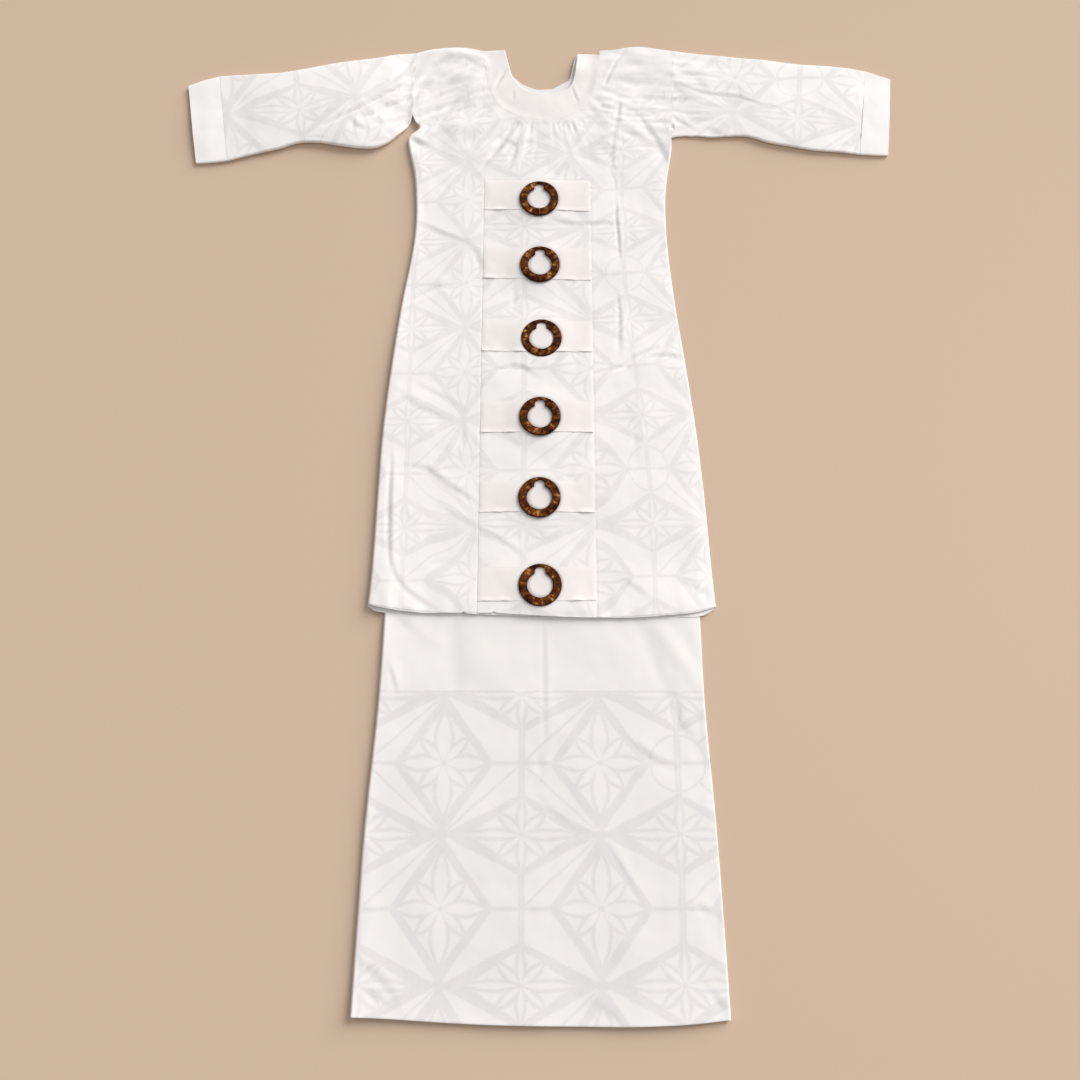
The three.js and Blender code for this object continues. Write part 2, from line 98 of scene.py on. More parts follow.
TUNIC_SIDES = {
    "y": (505, 571, 662, 785, 885, 994, 1062, 1113, 1175, 1213, 1254, 1268, 1276, 1284, 1292,
          1301, 1315, 1350, 1390, 1445),
    "right": (-236, -231.5, -228.6, -224.5, -216, -204, -193.6, -188.6, -190, -194, -203, -205,
              -203.5, -195, -188.5, -193.5, -199.3, -198.7, -198.1, -197.2),
    "left": (241, 236, 231.5, 222.5, 211.5, 199, 193, 190.7, 192, 197, 204, 204.8, 205, 205.2,
             205.5, 205.7, 206.1, 207, 208.1, 209.6),
}
TUNIC_HEM = {
    "x": (-236, -213, -146, -64, 35, 85, 151, 210, 241),
    "y": (530, 525.5, 518.5, 517.3, 511.8, 511, 514, 519.5, 527),
}
SHOULDERS = {
    "x": (-198, -176, -140, -112, -91, 96, 138, 165, 210),
    "y": (1433.5, 1440, 1443.5, 1444.8, 1441.5, 1438, 1446, 1445, 1437.7),
}
# The neckband's outer and inner edges, from the wearer's right shoulder round to the left.
NECK_OUTER = (
    (-90.5, 1437.2), (-89, 1412), (-85, 1382), (-77, 1355), (-65, 1332), (-46, 1318.5),
    (-23, 1309), NECK_BOTTOM,
    (35, 1309), (54, 1318.5), (67, 1332), (82, 1355), (91.5, 1382), (95.5, 1412), (95, 1436),
)
NECK_INNER = (
    (-56.5, 1439.5), (-53, 1424), (-49.5, 1409), (-44.5, 1390), (-38.5, 1380),
    (-28.5, 1367.5), (-13, 1360), (4, 1356.5),
    (20, 1356.5), (36, 1360.5), (48, 1371), (54, 1386), (57, 1403), (59, 1418), (60, 1431.3),
)
BACK_NECK_INNER = (
    (-56.5, 1439), (-53, 1424), (-49.5, 1409), (-43.5, 1391), (-37, 1384.8), (-27, 1374.5),
    (-12.5, 1369), (2, 1365.5),
    (17, 1366.8), (27, 1372), (39.5, 1379), (47, 1384.5), (51, 1400), (55, 1420.5), (58.5, 1431),
)
SKIRT_SIDES = {
    "y": (0, 120, 234, 401, 516, 700, 819, 860, 892),
    "right": (-233.5, -230, -226, -215, -211.5, -209, -206, -193, -178),
    "left": (234.5, 231, 227, 218.5, 217, 214, 208, 195, 180),
}
SKIRT_HEM = {
    "x": (-233.5, -191, -123, -56, 45, 113, 180, 234.5),
    "y": (12.2, 10.5, 6.2, 3.2, 1.5, 1.2, 3.6, 8.7),
}
# A sleeve from its armhole to its cuff's seam: the fold on top, the fold under it, the loft.
SLEEVES = {
    "right": (
        (-197.4, 1433, -199.3, 1315, 1), (-212, 1431, -207, 1294.5, 2),
        (-235, 1427.5, -223, 1277, 3.5), (-262, 1420.5, -243, 1259.5, 5),
        (-296, 1415, -271, 1253.5, 6), (-330, 1408.7, -308, 1257.5, 6.5),
        (-370, 1400, -345, 1264, 6), (-410, 1392.5, -377, 1263, 5.5),
        (-440, 1390.5, -405, 1253.5, 5), (-475, 1389, -445, 1243.5, 4),
        (-508.5, 1387.6, -483.5, 1232.3, 3),
    ),
    "left": (
        (209.4, 1437.7, 205.0, 1275, 1.0), (228, 1434.8, 216, 1277, 1.2),
        (255, 1430.5, 238, 1277, 1.8), (290, 1426, 270, 1275.5, 2.6),
        (322, 1421.2, 298, 1276.5, 3.4), (354, 1418, 325, 1275.5, 4), (388, 1412, 355, 1265, 4.4),
        (420, 1408, 388, 1258, 4.4), (455, 1406, 425, 1251, 4), (488, 1402.5, 462, 1248, 3.4),
        (517, 1397, 496, 1244, 2.5),
    ),
}
CUFFS = {
    "right": (
        (-508.8, 1387.5, -483.8, 1232.3, 3), (-534, 1379.5, -510, 1229, 2.8),
        (-557, 1370.3, -532, 1228, 2),
    ),
    "left": (
        (517.3, 1396.9, 496.3, 1244, 2.5), (536, 1389.7, 518, 1242.5, 2.5),
        (556, 1382.5, 540, 1242.3, 1.8),
    ),
}
# Each band's ring, its top and bottom edges, and how far its wearer's left end hangs lower.
Band = namedtuple("Band", "ring_x ring_y top bottom slant")
BANDS = (
    Band(-1.5, 1163, 1197.5, 1144.5, 3), Band(0, 1050, 1079.5, 1027, 3),
    Band(2.2, 928.5, 957.5, 907.5, 2), Band(0, 804, 829.5, 781, 1),
    Band(-0.8, 682, 707.5, 661.5, 0), Band(0.2, 556, 582, 534.5, -1.5),
)
RING_RADIUS, EYE_RADIUS, RIM_ROUND, RING_STEPS = 29.6, 17.5, 1.4, 144
NOTCH_WIDTH, NOTCH_CORNER, NOTCH_WALL = 15.0, 6.2, 3.8

# ---------- creases ----------

# Each is a trough with the cloth pushed up beside it: its half width, its depth, and then x and
# y of the points that it runs through. A negative depth is a ridge.
TIPPED = (0.73, 0.68)                     # folds rise steeply this way and fall back gently
TUNIC_CREASES = (
    (3.5, 1.6, 137, 1439, 122, 1417, 108, 1387, 103, 1372),
    (5, 2.2, 88, 1347, 100, 1333, 113, 1327, 122, 1328), (4, 2.2, 126, 1336, 123, 1319, 122, 1305),
    (3, 1.6, 121, 1307, 116, 1278, 112, 1243, 113, 1218, 117, 1187),
    (3, 1.8, 117, 1160, 116, 1133, 118, 1109, 120, 1064), (4, 1.6, 116, 1000, 118, 969, 117, 925),
    (6, 1.2, 116, 934, 117, 911), (5, 2, 158, 1313, 170, 1291, 179, 1277),
    (5, 1.9, 179, 1282, 188, 1257, 199, 1227), (9, 1, 135, 1298, 160, 1273, 182, 1257),
    (4, 1.6, 135, 1412, 155, 1413, 178, 1412), (4.5, 1.3, 118, 1384, 146, 1390, 180, 1389),
    (6, 1.2, 120, 1372, 170, 1376, 208, 1373), (4.5, 1.3, 130, 1350, 170, 1347, 208, 1348),
    (5, 1.1, -122, 1425, -110, 1418, -98, 1411), (5.5, 2.4, -186, 1390, -165, 1409, -142, 1425),
    (5.5, 2.2, -152, 1381, -138, 1394, -120, 1409), (5.5, 2.4, -200, 1345, -188, 1364, -172, 1378),
    (3, 1, -170, 1344, -145, 1357, -118, 1366), (5, 2.2, -188, 1276, -176, 1291, -163, 1306),
    (7, 2, -164, 1303, -150, 1316, -131, 1329), (5, 3.4, -200, 1272, -190, 1266, -178, 1262),
    (6, 1.6, -84, 1224, -62, 1262, -36, 1302), (5, 1.4, -52, 1250, -36, 1274, -22, 1290),
    (4.5, 1.8, -186, 1332, -156, 1354, -130, 1363), (5, 2.2, -198, 1368, -176, 1392, -160, 1408),
    (5, 1.8, -188, 1308, -160, 1326, -132, 1340), (4, 1.6, -132, 1331, -112, 1352, -92, 1362),
    (4.5, 1.6, -150, 1300, -128, 1322, -106, 1334), (5, 1.3, -87, 1235, -66, 1257, -46, 1287),
    (5, 1.6, -77, 1241, -58, 1260), (3.5, 1.2, -94, 1215, -80, 1233),
    (5, 1.4, -50, 1213, -36, 1257, -16, 1269), (8, 1, -32, 1257, 0, 1268, 26, 1281),
    (4, 1, -64, 1277, -36, 1257), (4.5, 1.2, -175, 1119, -142, 1102, -111, 1090),
    (7, 1.3, -106, 1088, -94, 1072, -87, 1042),
    (5, 1.6, -194, 988, -172, 1002, -150, 1014, -120, 1018),
    (4, 2.6, 101, 876, 125, 886, 138, 897, 156, 907, 172, 914),
    (3.5, 2, 158, 899, 187, 901, 212, 898), (4.5, 2.4, -210, 742, -211, 681, -209, 621, -206, 584),
    (4.5, 1.4, -206, 594, -198, 570, -183, 550, -160, 533, -141, 522),
    (5, 1.5, -192, 730, -160, 726, -130, 703, -90, 675), (5, 1.2, -135, 668, -110, 652, -88, 640),
    (6, 1.1, -200, 841, -178, 821, -152, 809, -132, 801),
    (5, 0.9, -178, 857, -142, 836, -116, 820),
    (5, 1.2, -109, 785, -110, 757), (8, 1, 137, 785, 138, 759),
    (5, 1, 116, 563, 132, 551, 144, 542), (6, 1, 196, 563, 212, 554, 228, 544),
    (7, 1, -153, 586, -132, 591), (4.5, 1.5, 70, 1121, 98, 1122, 120, 1120),
)
STRIP_CREASES = (
    (4.5, 1.5, -4, 1136, 20, 1126, 50, 1121, 84, 1121), (4, 1.5, -66, 877, -40, 884, -20, 881),
    (5, 2, -28, 884, -14, 875), (4, 1.4, -20, 880, -8, 894, 2, 900), (7, 1.8, 16, 891, 30, 901),
    (4, 0.7, -86, 636, -60, 624, -40, 610, -24, 596), (5, 1, -38, 1014, -37, 979),
)
SKIRT_CREASES = (
    (5, 0.8, 4, 516, 5, 470, 6, 414, 7, 345), (8, 1, 0, 326, 1, 308),
    (9, 1, -198, 520, -185, 505, -166, 490), (4, 1.2, -202, 445, -197, 430, -192, 413),
    (18, 1.4, -116, 516, -112, 470, -108, 414), (14, 1.3, 131, 516, 148, 478, 162, 440, 197, 372),
    (14, -1, 158, 504, 180, 470, 205, 428), (8, 1.2, 176, 396, 184, 372, 199, 352),
    (6, 1.4, 120, 347, 145, 325, 168, 316), (3, 0.4, -4, 278, 22, 252, 46, 234, 80, 225),
    (4.5, 0.6, 82, 224, 103, 190, 126, 150), (8, 1.4, -224, 76, -200, 58, -176, 28),
    (6, 1.3, -214, 43, -188, 27), (6, 1.2, 213, 40, 228, 20), (7, 0.9, 68, 26, 100, 7),
    (5, 1.2, 198, 141, 214, 134),
)
# A tuck across the wearer's left sleeve, which takes up cloth between its two sides.
SLEEVE_FOLD = (208, 1380, 228, 1368, 256, 1357, 272, 1353, 292, 1351, 316, 1346,
               332, 1338, 347, 1331, 366, 1328)
SLEEVE_TUCK = 26.0
SLEEVE_CREASES = {
    "right": (
        (3.8, 3.6, -338, 1291, -305, 1310, -275, 1328, -245, 1349, -222, 1366, -203, 1371),
        (4.4, 3.4, -280, 1307, -256, 1314, -240, 1329, -222, 1337, -203, 1347),
        (3.6, 2.4, -238, 1297, -222, 1304, -206, 1314),
        (4.4, 2.6, -234, 1380, -217, 1399, -203, 1418),
        (4, 2.4, -293, 1302, -286, 1291, -274, 1288),
        (3.6, 1.8, -262, 1281, -248, 1297, -232, 1303),
        (2.8, 0.7, -370, 1268, -346, 1271, -324, 1266),
    ),
    "left": (
        (3.6, 1.3, *SLEEVE_FOLD), (4, 0.7, 209, 1343, 232, 1344, 247, 1340),
        (4.5, 1.6, 206, 1318, 216, 1307, 235, 1294), (5, 1, 206, 1400, 240, 1392, 280, 1384),
        (6, 1.2, 260, 1292, 284, 1278), (5, 1.4, 464, 1255, 484, 1261, 501, 1279),
        (7, 0.8, 204, 1383, 211, 1376),
    ),
}
NECKBAND_CREASES = (
    (4, 1.6, -54, 1401, -64, 1383, -71, 1368), (3.5, 1, 51, 1369, 55, 1355, 60, 1341),
    (3, 0.8, -42, 1362, -41, 1345),
)
# Small gathers sewn in under the neckband: x, length and depth.
GATHERS = (
    (-47, 22, 1.0), (-41, 30, 1.8), (-34, 16, 1.3), (-27, 24, 1.7), (-20, 13, 1.2), (-13, 30, 1.8),
    (-5, 12, 0.9), (3, 10, 0.7), (11, 13, 1.0), (19, 20, 1.5), (26, 27, 1.8), (33, 16, 1.3),
    (40, 20, 1.6), (48, 26, 1.6), (56, 14, 1.1),
)

# ---------- functions of the tables ----------


def rising(low, high, value):
    """0 below low and 1 above high, with a smooth rise between."""
    t = np.clip((value - low) / (high - low), 0.0, 1.0)
    return t * t * (3 - 2 * t)


def falling(low, high, value):
    """1 below low and 0 above high, with a smooth fall between."""
    return 1 - rising(low, high, value)


def fading(distance, reach):
    """1 at an edge, and less with the distance in from it."""
    return np.exp(-np.maximum(distance, 0) / reach)


def bell(off, width):
    """1 in the middle of a swelling, and near 0 at two widths from it."""
    return np.exp(-(off / width) ** 2)


def between(low, high, share):
    return low + (high - low) * share


def within(value, low, high):
    """Distance in from the nearer of two limits."""
    return np.minimum(value - low, high - value)


def through(places, values, at):
    """A smooth curve through rows of a table, read at any places."""
    places, values = np.asarray(places, float), np.asarray(values, float)
    steps = np.diff(values) / np.diff(places)
    slopes = np.concatenate(([steps[0]], (steps[1:] + steps[:-1]) / 2, [steps[-1]]))
    at = np.clip(np.asarray(at, float), places[0], places[-1])
    i = np.clip(np.searchsorted(places, at, side="right") - 1, 0, len(places) - 2)
    span = places[i + 1] - places[i]
    t = (at - places[i]) / span
    return ((2 * t**3 - 3 * t**2 + 1) * values[i] + (t**3 - 2 * t**2 + t) * span * slopes[i]
            + (3 * t**2 - 2 * t**3) * values[i + 1] + (t**3 - t**2) * span * slopes[i + 1])


def along_points(points, at):
    """Smooth x and y at shares 0 to 1 of the way along a row of points."""
    rows = np.asarray(points, float)
    places = np.linspace(0, 1, len(rows))
    return through(places, rows[:, 0], at), through(places, rows[:, 1], at)


def rotated(x, y, turn):
    """Places along and across a direction so many degrees from X."""
    c, s = math.cos(math.radians(turn)), math.sin(math.radians(turn))
    return x * c + y * s, y * c - x * s


def sides(table, y):
    """X of the side seams at a height, the wearer's right one first."""
    return [through(table["y"], table[side], y) for side in ("right", "left")]


def skirt_hem(x):
    return through(SKIRT_HEM["x"], SKIRT_HEM["y"], x)


def shoulder_line(x):
    return through(SHOULDERS["x"], SHOULDERS["y"], x)


def tunic_hem(x):
    """The tunic's hem, with a nick where its stitching pulls."""
    return through(TUNIC_HEM["x"], TUNIC_HEM["y"], x) + 2.4 * bell(x + 62, 2.6)


def from_side(x, y):
    """Distance in from the tunic's side seams. It counts as far above the underarm, where the
    front is sewn to the sleeves."""
    side = within(x, *sides(TUNIC_SIDES, y))
    return side + 40 * np.where(x < 0, rising(1296, 1312, y), rising(1262, 1276, y))


def crease_height(creases, x, y):
    """Sum of the creases at points, in mm. A fold that runs across TIPPED has tipped over that
    way: one side is steep and the other gentle. One that runs along it is a plain trough."""
    total = np.zeros_like(x)
    for half_width, depth, *points in creases:
        path = np.array(points, float).reshape(-1, 2)
        low, high = path.min(axis=0) - 6 * half_width, path.max(axis=0) + 6 * half_width
        near = (x > low[0]) & (x < high[0]) & (y > low[1]) & (y < high[1])
        # Rows here are the crease's stretches, and columns are the points near it.
        steps = np.diff(path, axis=0)
        lengths = np.hypot(*steps.T)[:, None]
        dx, dy = (steps / lengths).T[..., None]
        to_x, to_y = (at[near] - start[:, None] for at, start in zip((x, y), path[:-1].T))
        run = np.clip(to_x * dx + to_y * dy, 0, lengths)
        off_x, off_y = to_x - run * dx, to_y - run * dy
        off = np.hypot(off_x, off_y)
        side = np.clip((off_y * dx - off_x * dy) / np.maximum(off, 1e-6), -1, 1)
        square = dx * TIPPED[1] - dy * TIPPED[0]
        closest = off.argmin(axis=0), np.arange(off.shape[1])
        share = ((np.cumsum(lengths)[:, None] - lengths + run) / lengths.sum())[closest]
        fade = np.sin(np.pi * np.clip(0.06 + 0.88 * share, 0, 1)) ** 0.7
        width = half_width * (0.75 + 0.25 * fade)
        q, step = off[closest] / width, (off * side * np.copysign(1, square))[closest] / width
        trough = (1 - 0.9 * q**2) * np.exp(-q**2 / 1.3)
        tipped = step / (1 + step**2) * bell(q, 3.5)
        across = (depth > 0) * np.abs(square)[closest[0], 0]
        total[near] += (sizes().crease * depth * fade
                        * (across * tipped - (1 - 0.7 * across) * trough))
    return total


def soft_noise(x, y, size, seed):
    """Smooth uneven values near -0.5 to 0.5, with bumps about that many mm across."""
    return np.array([noise.noise(Vector((a / size, b / size, seed))) for a, b in zip(x, y)])


# ---------- sizes and colours that a user may change ----------


def length_setting(name, description, default):
    return bpy.props.FloatProperty(
        name=name, description=description, default=default * MM, unit="LENGTH")


def colour_setting(name, description, default):
    return bpy.props.StringProperty(
        name=name, description=description + ", sRGB hex", default=default)


class PuletasiSizes(bpy.types.PropertyGroup):
    wall: length_setting("Cloth", "Thickness of one layer", 0.6)
    cell: length_setting("Mesh cell", "Size of a cell of the cloth's mesh", 2.9)
    crease: bpy.props.FloatProperty(
        name="Creasing", description="Depth of the creases, as a share of the noted depth",
        default=1.0, min=0.0, max=2.0, subtype="FACTOR")
    crumple: length_setting("Crumple", "Height of the small unevenness of the cloth", 1.2)
    thread: length_setting("Thread spacing", "Spacing of the weave's threads", 0.45)


class PuletasiColours(bpy.types.PropertyGroup):
    cloth: colour_setting("Tunic cloth", "White of the tunic", "F4F0EE")
    # Painted light: the sleeves' white is a shade lighter than the tunic's, to make up for the
    # light falling off towards the cuffs.
    sleeve: colour_setting("Sleeve cloth", "White of the sleeves", "F8F4F2")
    # Painted shade: the skirt's white is a shade darker than the tunic's, standing in for the
    # lesser light on the skirt below.
    skirt: colour_setting("Skirt cloth", "White of the skirt", "EFEBE9")
    ink: colour_setting("Ink", "Pale grey ink of the print", "E3DFDF")
    plain: colour_setting("Plain cloth", "Bands across the front", "F1EBE9")
    facing: colour_setting("Facing", "Neckbands and waistband", "F2EDEB")
    cuff: colour_setting("Cuffs", "Cuffs", "FCF8F6")
    shell_dark: colour_setting("Dark shell", "Ground colour of the rings", "371707")
    shell_amber: colour_setting("Amber shell", "Flecks of the rings", "7E4719")
    floor: colour_setting("Floor", "Pale paper under the set", "D1B7A0")


def sizes():
    return bpy.context.scene.puletasi_sizes


def wall_mm():
    return sizes().wall / MM


def cell_mm():
    return sizes().cell / MM


def colours():
    return bpy.context.scene.puletasi_colours


def linear(hex_colour):
    """An sRGB hex colour as the linear RGBA that a shader takes."""
    parts = [int(hex_colour[i:i + 2], 16) / 255 for i in (0, 2, 4)]
    return [c / 12.92 if c <= 0.04045 else ((c + 0.055) / 1.055) ** 2.4 for c in parts] + [1.0]


# ---------- materials ----------


def node_value(tree, kind, inputs=(), output=0, **settings):
    """Adds a node and gives back an output of it. Its inputs go by name or number: a Value is
    linked, and a number or a colour is set."""
    node = tree.nodes.new(kind)
    for key, value in settings.items():
        setattr(node, key, value)
    for key, value in (inputs.items() if isinstance(inputs, dict) else enumerate(inputs)):
        if isinstance(value, Value):
            tree.links.new(value.socket, node.inputs[key])
        else:
            node.inputs[key].default_value = value
    return Value(node.outputs[output])


def math_node(operation, *values):
    tree = next(v.socket.id_data for v in values if isinstance(v, Value))
    return node_value(tree, "ShaderNodeMath", values, operation=operation)


def by_node(operation):
    return lambda *values: math_node(operation, *values)


class Value:
    """A number in a shader. Sums with it, and comparisons, add the math nodes for them."""

    def __init__(self, socket):
        self.socket = socket

    __add__, __sub__ = by_node("ADD"), by_node("SUBTRACT")
    __mul__, __truediv__ = by_node("MULTIPLY"), by_node("DIVIDE")
    __mod__, __abs__ = by_node("MODULO"), by_node("ABSOLUTE")
    __lt__, __gt__ = by_node("LESS_THAN"), by_node("GREATER_THAN")

    def __rsub__(self, other):
        return math_node("SUBTRACT", other, self)


least, most = by_node("MINIMUM"), by_node("MAXIMUM")


def noise_value(tree, vector, scale, detail=2.0, roughness=0.5):
    return node_value(tree, "ShaderNodeTexNoise", {"Vector": vector, "Scale": scale,
                                                   "Detail": detail, "Roughness": roughness})


def smooth_range(value, low, high, start, end):
    """start where the value is below low, end where it is above high, with a smooth change."""
    limits = {"Value": value, "From Min": low, "From Max": high, "To Min": start, "To Max": end}
    return node_value(value.socket.id_data, "ShaderNodeMapRange", limits,
                      interpolation_type="SMOOTHSTEP")


def new_material(name, **constants):
    """A material, with its surface's constants by the names of their sockets."""
    material = bpy.data.materials.new(name)
    material.use_nodes = True
    inputs = surface_inputs(material.node_tree)
    for key, value in constants.items():
        inputs[key.replace("_", " ")].default_value = value
    return material, material.node_tree


def surface_inputs(tree):
    return next(n for n in tree.nodes if n.type == "BSDF_PRINCIPLED").inputs


# Sizes of the print's quarter repeat, in mm of the widest cloth: from the star where the rays
# meet to the middle of the upright diamond, and to the middle of the lying one.
QUARTER = (101.5, 90.0)
# Half widths and heights of the diamonds, and of the smaller diamonds that hold their flowers.
UPRIGHT, UPRIGHT_FLOWER = (66.0, 90.0), (54.0, 69.0)
LYING, LYING_FLOWER = (101.5, 51.5), (67.0, 42.5)
# Each flower's petals: length and half width of those across, those up, and those between,
# and the direction of the last in degrees.
UPRIGHT_PETALS = ((54.0, 7.0), (65.0, 8.3), (41.0, 4.8), 46.0)
LYING_PETALS = ((65.0, 3.8), (39.0, 3.2), (37.0, 3.6), 42.0)
PETAL_OUTLINE, INK_EDGE = 4.8, 4.4
ARM_ACROSS, ARM_UP = 2.8, 4.0             # half widths of the ruled cross's arms
CIRCLE_RADIUS, CIRCLE_LINE, RULED_LINE = 36.0, 1.3, 1.4
STAR_RADIUS, EYE_OF_FLOWER = 8.0, 3.6
WAVER, GRAIN, ARM_GAP = 0.02, 5.0, 1.1    # the first in repeats


def print_ink(tree, top=None, fade=None):
    """1 where the print has ink. The print is a lattice of diamonds that meet in stars, each
    with an eight-petalled flower, with kites and ruled crosses between them. Its places come
    from the cut map, whose units are repeats. Above top the cloth is bare, and over the two
    heights of fade the ink thins out."""
    cut = node_value(tree, "ShaderNodeUVMap", uv_map="cut")
    # A slight waver keeps the printed edges from being ruler straight.
    waver = node_value(tree, "ShaderNodeTexNoise", {"Vector": cut, "Scale": 8.0, "Detail": 3.0},
                       "Color")
    waver = node_value(tree, "ShaderNodeVectorMath", [waver, (0.5, 0.5, 0.5)],
                       operation="SUBTRACT")
    waver = node_value(tree, "ShaderNodeVectorMath", {0: waver, "Scale": WAVER},
                       operation="SCALE")
    moved = node_value(tree, "ShaderNodeVectorMath", [cut, waver], operation="ADD")
    u = node_value(tree, "ShaderNodeSeparateXYZ", [moved])
    v = Value(u.socket.node.outputs[1])
    star_u, star_v = math_node("ROUND", u), math_node("ROUND", v)
    from_u, from_v = u - star_u, v - star_v
    x, y = abs(from_u) * (2 * QUARTER[0]), abs(from_v) * (2 * QUARTER[1])
    off_x, off_y = QUARTER[0] - x, QUARTER[1] - y

    def length(a, b):
        return math_node("SQRT", a * a + b * b)

    def inside_diamond(a, b, half):
        """Mm inside a diamond's edge, of a point a across and b up from its middle."""
        share = a / half[0] + b / half[1]
        return (1.0 - share) * (half[0] * half[1] / math.hypot(*half))

    def petal(along, off, reach, half):
        """Mm inside a lens shaped petal that starts at the flower's middle."""
        share = along / reach
        return share * (1.0 - share) * (4 * half) - abs(off)

    def flower(a, b, petals, holder):
        """Mm inside a flower's bright parts: its petals, and what is left of the small
        diamond round them once each petal has its outline."""
        across, up, aslant, turn = petals
        ca, sa = math.cos(math.radians(turn)), math.sin(math.radians(turn))
        lens = most(most(petal(a, b, *across), petal(b, a, *up)),
                    petal(a * ca + b * sa, a * sa - b * ca, *aslant))
        rest = lens * -1.0 - PETAL_OUTLINE
        whole = most(lens, least(rest, inside_diamond(a, b, holder)))
        return least(whole, length(a, b) - EYE_OF_FLOWER)

    in_upright = inside_diamond(x, off_y, UPRIGHT)
    in_lying = inside_diamond(off_x, y, LYING)
    bright = most(least(in_upright, flower(x, off_y, UPRIGHT_PETALS, UPRIGHT_FLOWER)),
                  least(in_lying, flower(off_x, y, LYING_PETALS, LYING_FLOWER)))
    # Kites fill the space between the diamonds, cut by the arms of the ruled cross.
    beside_arms = least(off_x - ARM_UP, off_y - ARM_ACROSS)
    kite = least(most(in_upright, in_lying) * -1.0, beside_arms)
    # Some kites are split by a ruled line from their star to the cross.
    odd_column, even_row = abs(star_u % 2.0), 1.0 - abs(star_v % 2.0)
    below, left = from_v < 0.0, from_u < 0.0
    split = most(left * most(below, even_row), (1.0 - below) * (odd_column * even_row))
    size = math.hypot(*QUARTER)
    ruled = abs(x * (QUARTER[1] / size) - y * (QUARTER[0] / size)) - RULED_LINE
    # The far value keeps the line out of the other kites.
    kite = least(kite, ruled + (1.0 - split) * 50.0)
    bright = most(bright, kite)
    # One cross in eight carries a circle in four quarters.
    odd = abs(math_node("FLOOR", u) % 4.0) + abs(math_node("FLOOR", v) % 2.0)
    from_cross = length(off_x, off_y)
    on_circle = abs(from_cross - CIRCLE_RADIUS) - CIRCLE_LINE
    quarters = least(CIRCLE_RADIUS - CIRCLE_LINE - from_cross, beside_arms)
    with_circle = most(least(bright, on_circle), quarters)
    bright = node_value(tree, "ShaderNodeMix", {"Factor": odd < 0.5, "A": bright,
                                                "B": with_circle}, "Result", data_type="FLOAT")
    bright = least(bright, length(x, y) - STAR_RADIUS)
    grain = noise_value(tree, cut, 60.0, 4.0, 0.7) - 0.5
    bright = bright + grain * GRAIN
    ink = smooth_range(bright, -INK_EDGE / 2, INK_EDGE / 2, 1.0, 0.0)
    # The arms have a paler middle where the two ruled edges of the screen left a gap.
    ink = ink * (1.0 - (off_x < ARM_GAP) * 0.3)
    if top is not None:
        # The print stops short unevenly, and its closing line printed in patches.
        stop = v + grain * (GRAIN / REPEAT_UP)
        patches = noise_value(tree, cut, 9.0)
        closing = (stop > top - 4.0 / REPEAT_UP) * ((patches > 0.44) * 0.8)
        ink = most(ink, closing) * (stop < top)
    if fade is not None:
        ink = ink * smooth_range(v, *fade, 1.0, 0.2)
    return ink


def weave_normal(tree, strength):
    """A plain weave: two crossed sets of threads and a little slub, as a bump."""
    where = node_value(tree, "ShaderNodeTexCoord", output="Object")
    per_metre = 1.0 / sizes().thread
    thread = {"Vector": where, "Scale": per_metre / 20.0 * math.pi, "Distortion": 1.5,
              "Detail": 1.0, "Detail Scale": 2.0}
    warp, weft = (node_value(tree, "ShaderNodeTexWave", thread, "Fac", bands_direction=axis)
                  for axis in "XY")
    slub = noise_value(tree, where, per_metre / 6.0, 3.0)
    return node_value(tree, "ShaderNodeBump", {"Height": warp * weft + slub,
                                               "Strength": strength, "Distance": 0.08 * MM})


def inked(tree, white, share, weave):
    """Colours a material from white to ink by a share, and gives it the weave."""
    mixed = {"Factor": share, "A": linear(white), "B": linear(colours().ink)}
    colour = node_value(tree, "ShaderNodeMix", mixed, "Result", data_type="RGBA")
    tree.links.new(colour.socket, surface_inputs(tree)["Base Color"])
    tree.links.new(weave_normal(tree, weave).socket, surface_inputs(tree)["Normal"])


def printed_cloth(name, white, strength, top=None, fade=None):
    """Screen printed cotton blend: a plain weave gives a soft matte white with a faint sheen,
    and the pale ink lies in the threads. It took unevenly: here and there it is thin, and
    elsewhere the whole cloth is a shade greyer."""
    material, tree = new_material(
        name, Roughness=0.72, Specular_IOR_Level=0.28, Sheen_Weight=0.12, Sheen_Roughness=0.45)
    ink = print_ink(tree, top, fade)
    where = node_value(tree, "ShaderNodeTexCoord", output="Object")
    fine, broad = (noise_value(tree, where, scale, 4.0, 0.65) for scale in (150.0, 17.0))
    ink = ink * (fine * 0.9 + broad * 0.7) * (1.25 * strength)
    ink = ink + most((broad - 0.42) * 0.7, 0.0)
    inked(tree, white, ink, 0.35)
    return material


def plain_cloth(name, white):
    """Interfaced plain cotton blend, cut from the same bolt without ink: matte, and a little
    uneven in tone."""
    material, tree = new_material(
        name, Roughness=0.8, Specular_IOR_Level=0.25, Sheen_Weight=0.08)
    where = node_value(tree, "ShaderNodeTexCoord", output="Object")
    patchy = noise_value(tree, where, 30.0, 4.0)
    tone = node_value(tree, "ShaderNodeMapRange", {"Value": patchy, "To Min": 0.0,
                                                   "To Max": 0.22})
    inked(tree, white, tone, 0.3)
    return material


